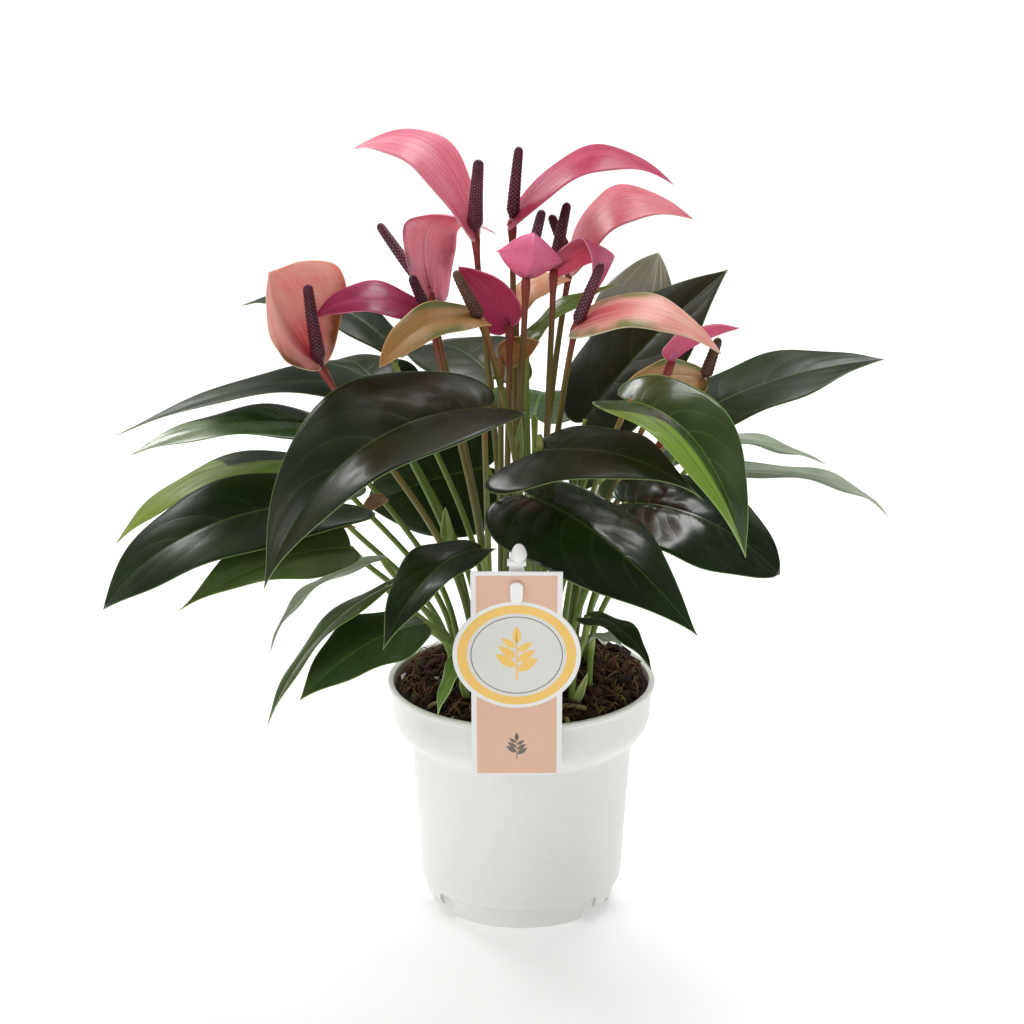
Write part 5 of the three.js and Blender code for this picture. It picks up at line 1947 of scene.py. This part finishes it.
@dataclass
class Studio:
    """The camera at the photograph's angle, a pale floor and soft light."""

    elevation: float = 18.67
    distance: float = 1.6
    target: Point = (0.0, 0.0, 0.18)
    lens: float = 127.1
    shift: Place = (-9.38 / 1024, 6.61 / 1024)
    floor_half: float = 6.0

    def camera(self) -> None:
        """Puts the camera where the photograph was taken from."""
        data = bpy.data.cameras.new("camera")
        data.lens = self.lens
        data.sensor_width = 36.0
        data.shift_x, data.shift_y = self.shift
        data.clip_start, data.clip_end = 0.05, 50.0
        rise = math.radians(self.elevation)
        back = Vector((0, -math.cos(rise), math.sin(rise)))
        bpy.context.scene.camera = stand("camera", data, Vector(self.target) + back * self.distance, -back)

    def lamp(self, name: str, place: Point, aim: Point, size: float, power: float) -> None:
        """Adds a square soft light; glossy surfaces mirror all but the backdrop's.

        Args:
            name: The light's name.
            place: Where it is, in metres.
            aim: The point that it faces.
            size: Its side in metres.
            power: Its power in watts.
        """
        data = bpy.data.lights.new(name, "AREA")
        data.size = size
        data.energy = power
        made = stand(name, data, Vector(place), Vector(aim) - Vector(place))
        made.visible_glossy = name != "backdrop"

    def world(self) -> None:
        """A near-white backdrop that lights the plant only faintly."""
        scene_world = bpy.data.worlds.new("studio")
        bpy.context.scene.world = scene_world
        scene_world.use_nodes = True
        bench = Bench(scene_world.node_tree)
        back = scene_world.node_tree.nodes["Background"]
        rays = bench.put("LightPath").outputs
        bench.feed(back.inputs["Color"], (1.0, 1.0, 1.0, 1.0))
        lit = bench.math("ADD", bench.math("MULTIPLY", rays["Is Glossy Ray"], -0.38), 0.5)
        seen = bench.math("MULTIPLY", rays["Is Camera Ray"], 0.5)
        bench.feed(back.inputs["Strength"], bench.math("ADD", seen, lit))

    def floor(self) -> None:
        """A wide pale floor with a faint grain."""
        half = self.floor_half
        mesh = bpy.data.meshes.new("floor")
        corners = [(-half, -half, 0), (half, -half, 0), (half, half, 0), (-half, half, 0)]
        mesh.from_pydata(corners, [], [(0, 1, 2, 3)])
        made = bpy.data.objects.new("floor", mesh)
        bpy.context.scene.collection.objects.link(made)
        pale, drift = (238, 238, 238), (234, 234, 234)
        finish = PlainFinish("floor_pale", pale, drift, 0.7, 60.0, 0.02, 0.8, glow=0.32)
        mesh.materials.append(finish.build())

    def build(self) -> None:
        """Makes the whole studio."""
        self.camera()
        self.world()
        self.floor()
        for name, place, aim, size, power in (
            ("overhead", (0.22, 0.5, 1.15), (0.0, 0.0, 0.2), 0.55, 7.5),
            ("rim_left", (-0.75, 1.0, 0.95), (-0.05, 0.0, 0.2), 0.4, 6.0),
            ("key", (-1.4, -1.0, 1.0), (0.0, 0.0, 0.15), 0.7, 8.0),
            ("fill", (1.3, -0.9, 0.8), (0.0, 0.0, 0.15), 0.9, 0.8),
            ("backdrop", (0.0, 3.4, 2.6), (0.0, 2.6, 0.0), 3.0, 60.0),
        ):
            self.lamp(name, place, aim, size, power)
        bpy.context.scene.view_settings.view_transform = "Standard"


def make_finishes() -> Finishes:
    """Builds every finish once, by name."""
    finishes = [tone.value for tones in (LeafTone, SpatheTone) for tone in tones]
    finishes += [PETIOLE, PETIOLE_WARM, STALK, STALK_FADED, SPADIX_DARK, SPADIX_RIPE]
    finishes += [
        PlainFinish("pot_white", (238, 237, 234), (231, 230, 226), 0.42, 700.0, 0.03, 9.0, 0.1),
        PlainFinish("stake_white", (246, 246, 244), (238, 238, 235), 0.35, 900.0, 0.02, 40.0, 0.1),
        PlainFinish("card_white", (240, 240, 238), (234, 234, 231), 0.42),
        PlainFinish("card_peach", (228, 187, 163), (223, 181, 157), 0.4),
        PlainFinish("card_yellow", (246, 204, 112), (243, 198, 104), 0.38),
        PlainFinish("card_pale", (224, 224, 219), (219, 219, 214), 0.42),
        PlainFinish("card_grey", (120, 112, 104), (110, 102, 96), 0.42),
        EarthFinish("earth_bed", (22, 15, 11), (44, 30, 22)),
        EarthFinish("earth_dark", (28, 18, 13), (60, 39, 28)),
        EarthFinish("earth_brown", (42, 28, 20), (74, 50, 36)),
        EarthFinish("earth_red", (56, 33, 23), (90, 57, 40)),
        EarthFinish("fibre_brown", (78, 48, 33), (116, 76, 54), 400.0),
        EarthFinish("fibre_tan", (104, 76, 54), (150, 116, 86), 400.0),
        EarthFinish("perlite", (206, 196, 190), (236, 230, 226), 500.0, 0.8, 0.3),
        EarthFinish("moss", (104, 112, 44), (150, 156, 76), 400.0),
        EarthFinish("root", (118, 108, 66), (158, 140, 96), 260.0, 0.6, 0.3),
    ]
    return {finish.name: finish.build() for finish in finishes}


def main() -> None:
    """Builds the studio and the plant."""
    logging.basicConfig(level=logging.INFO, format="%(name)s: %(message)s")
    Studio().build()
    finishes = make_finishes()
    card = HangCard()
    for piece in (NurseryPot(), PottingSoil(), card, Stake(card), *LEAVES, SHOOT, *BLOOMS, *BRACTS):
        piece.build(finishes)


if __name__ == "__main__":
    main()
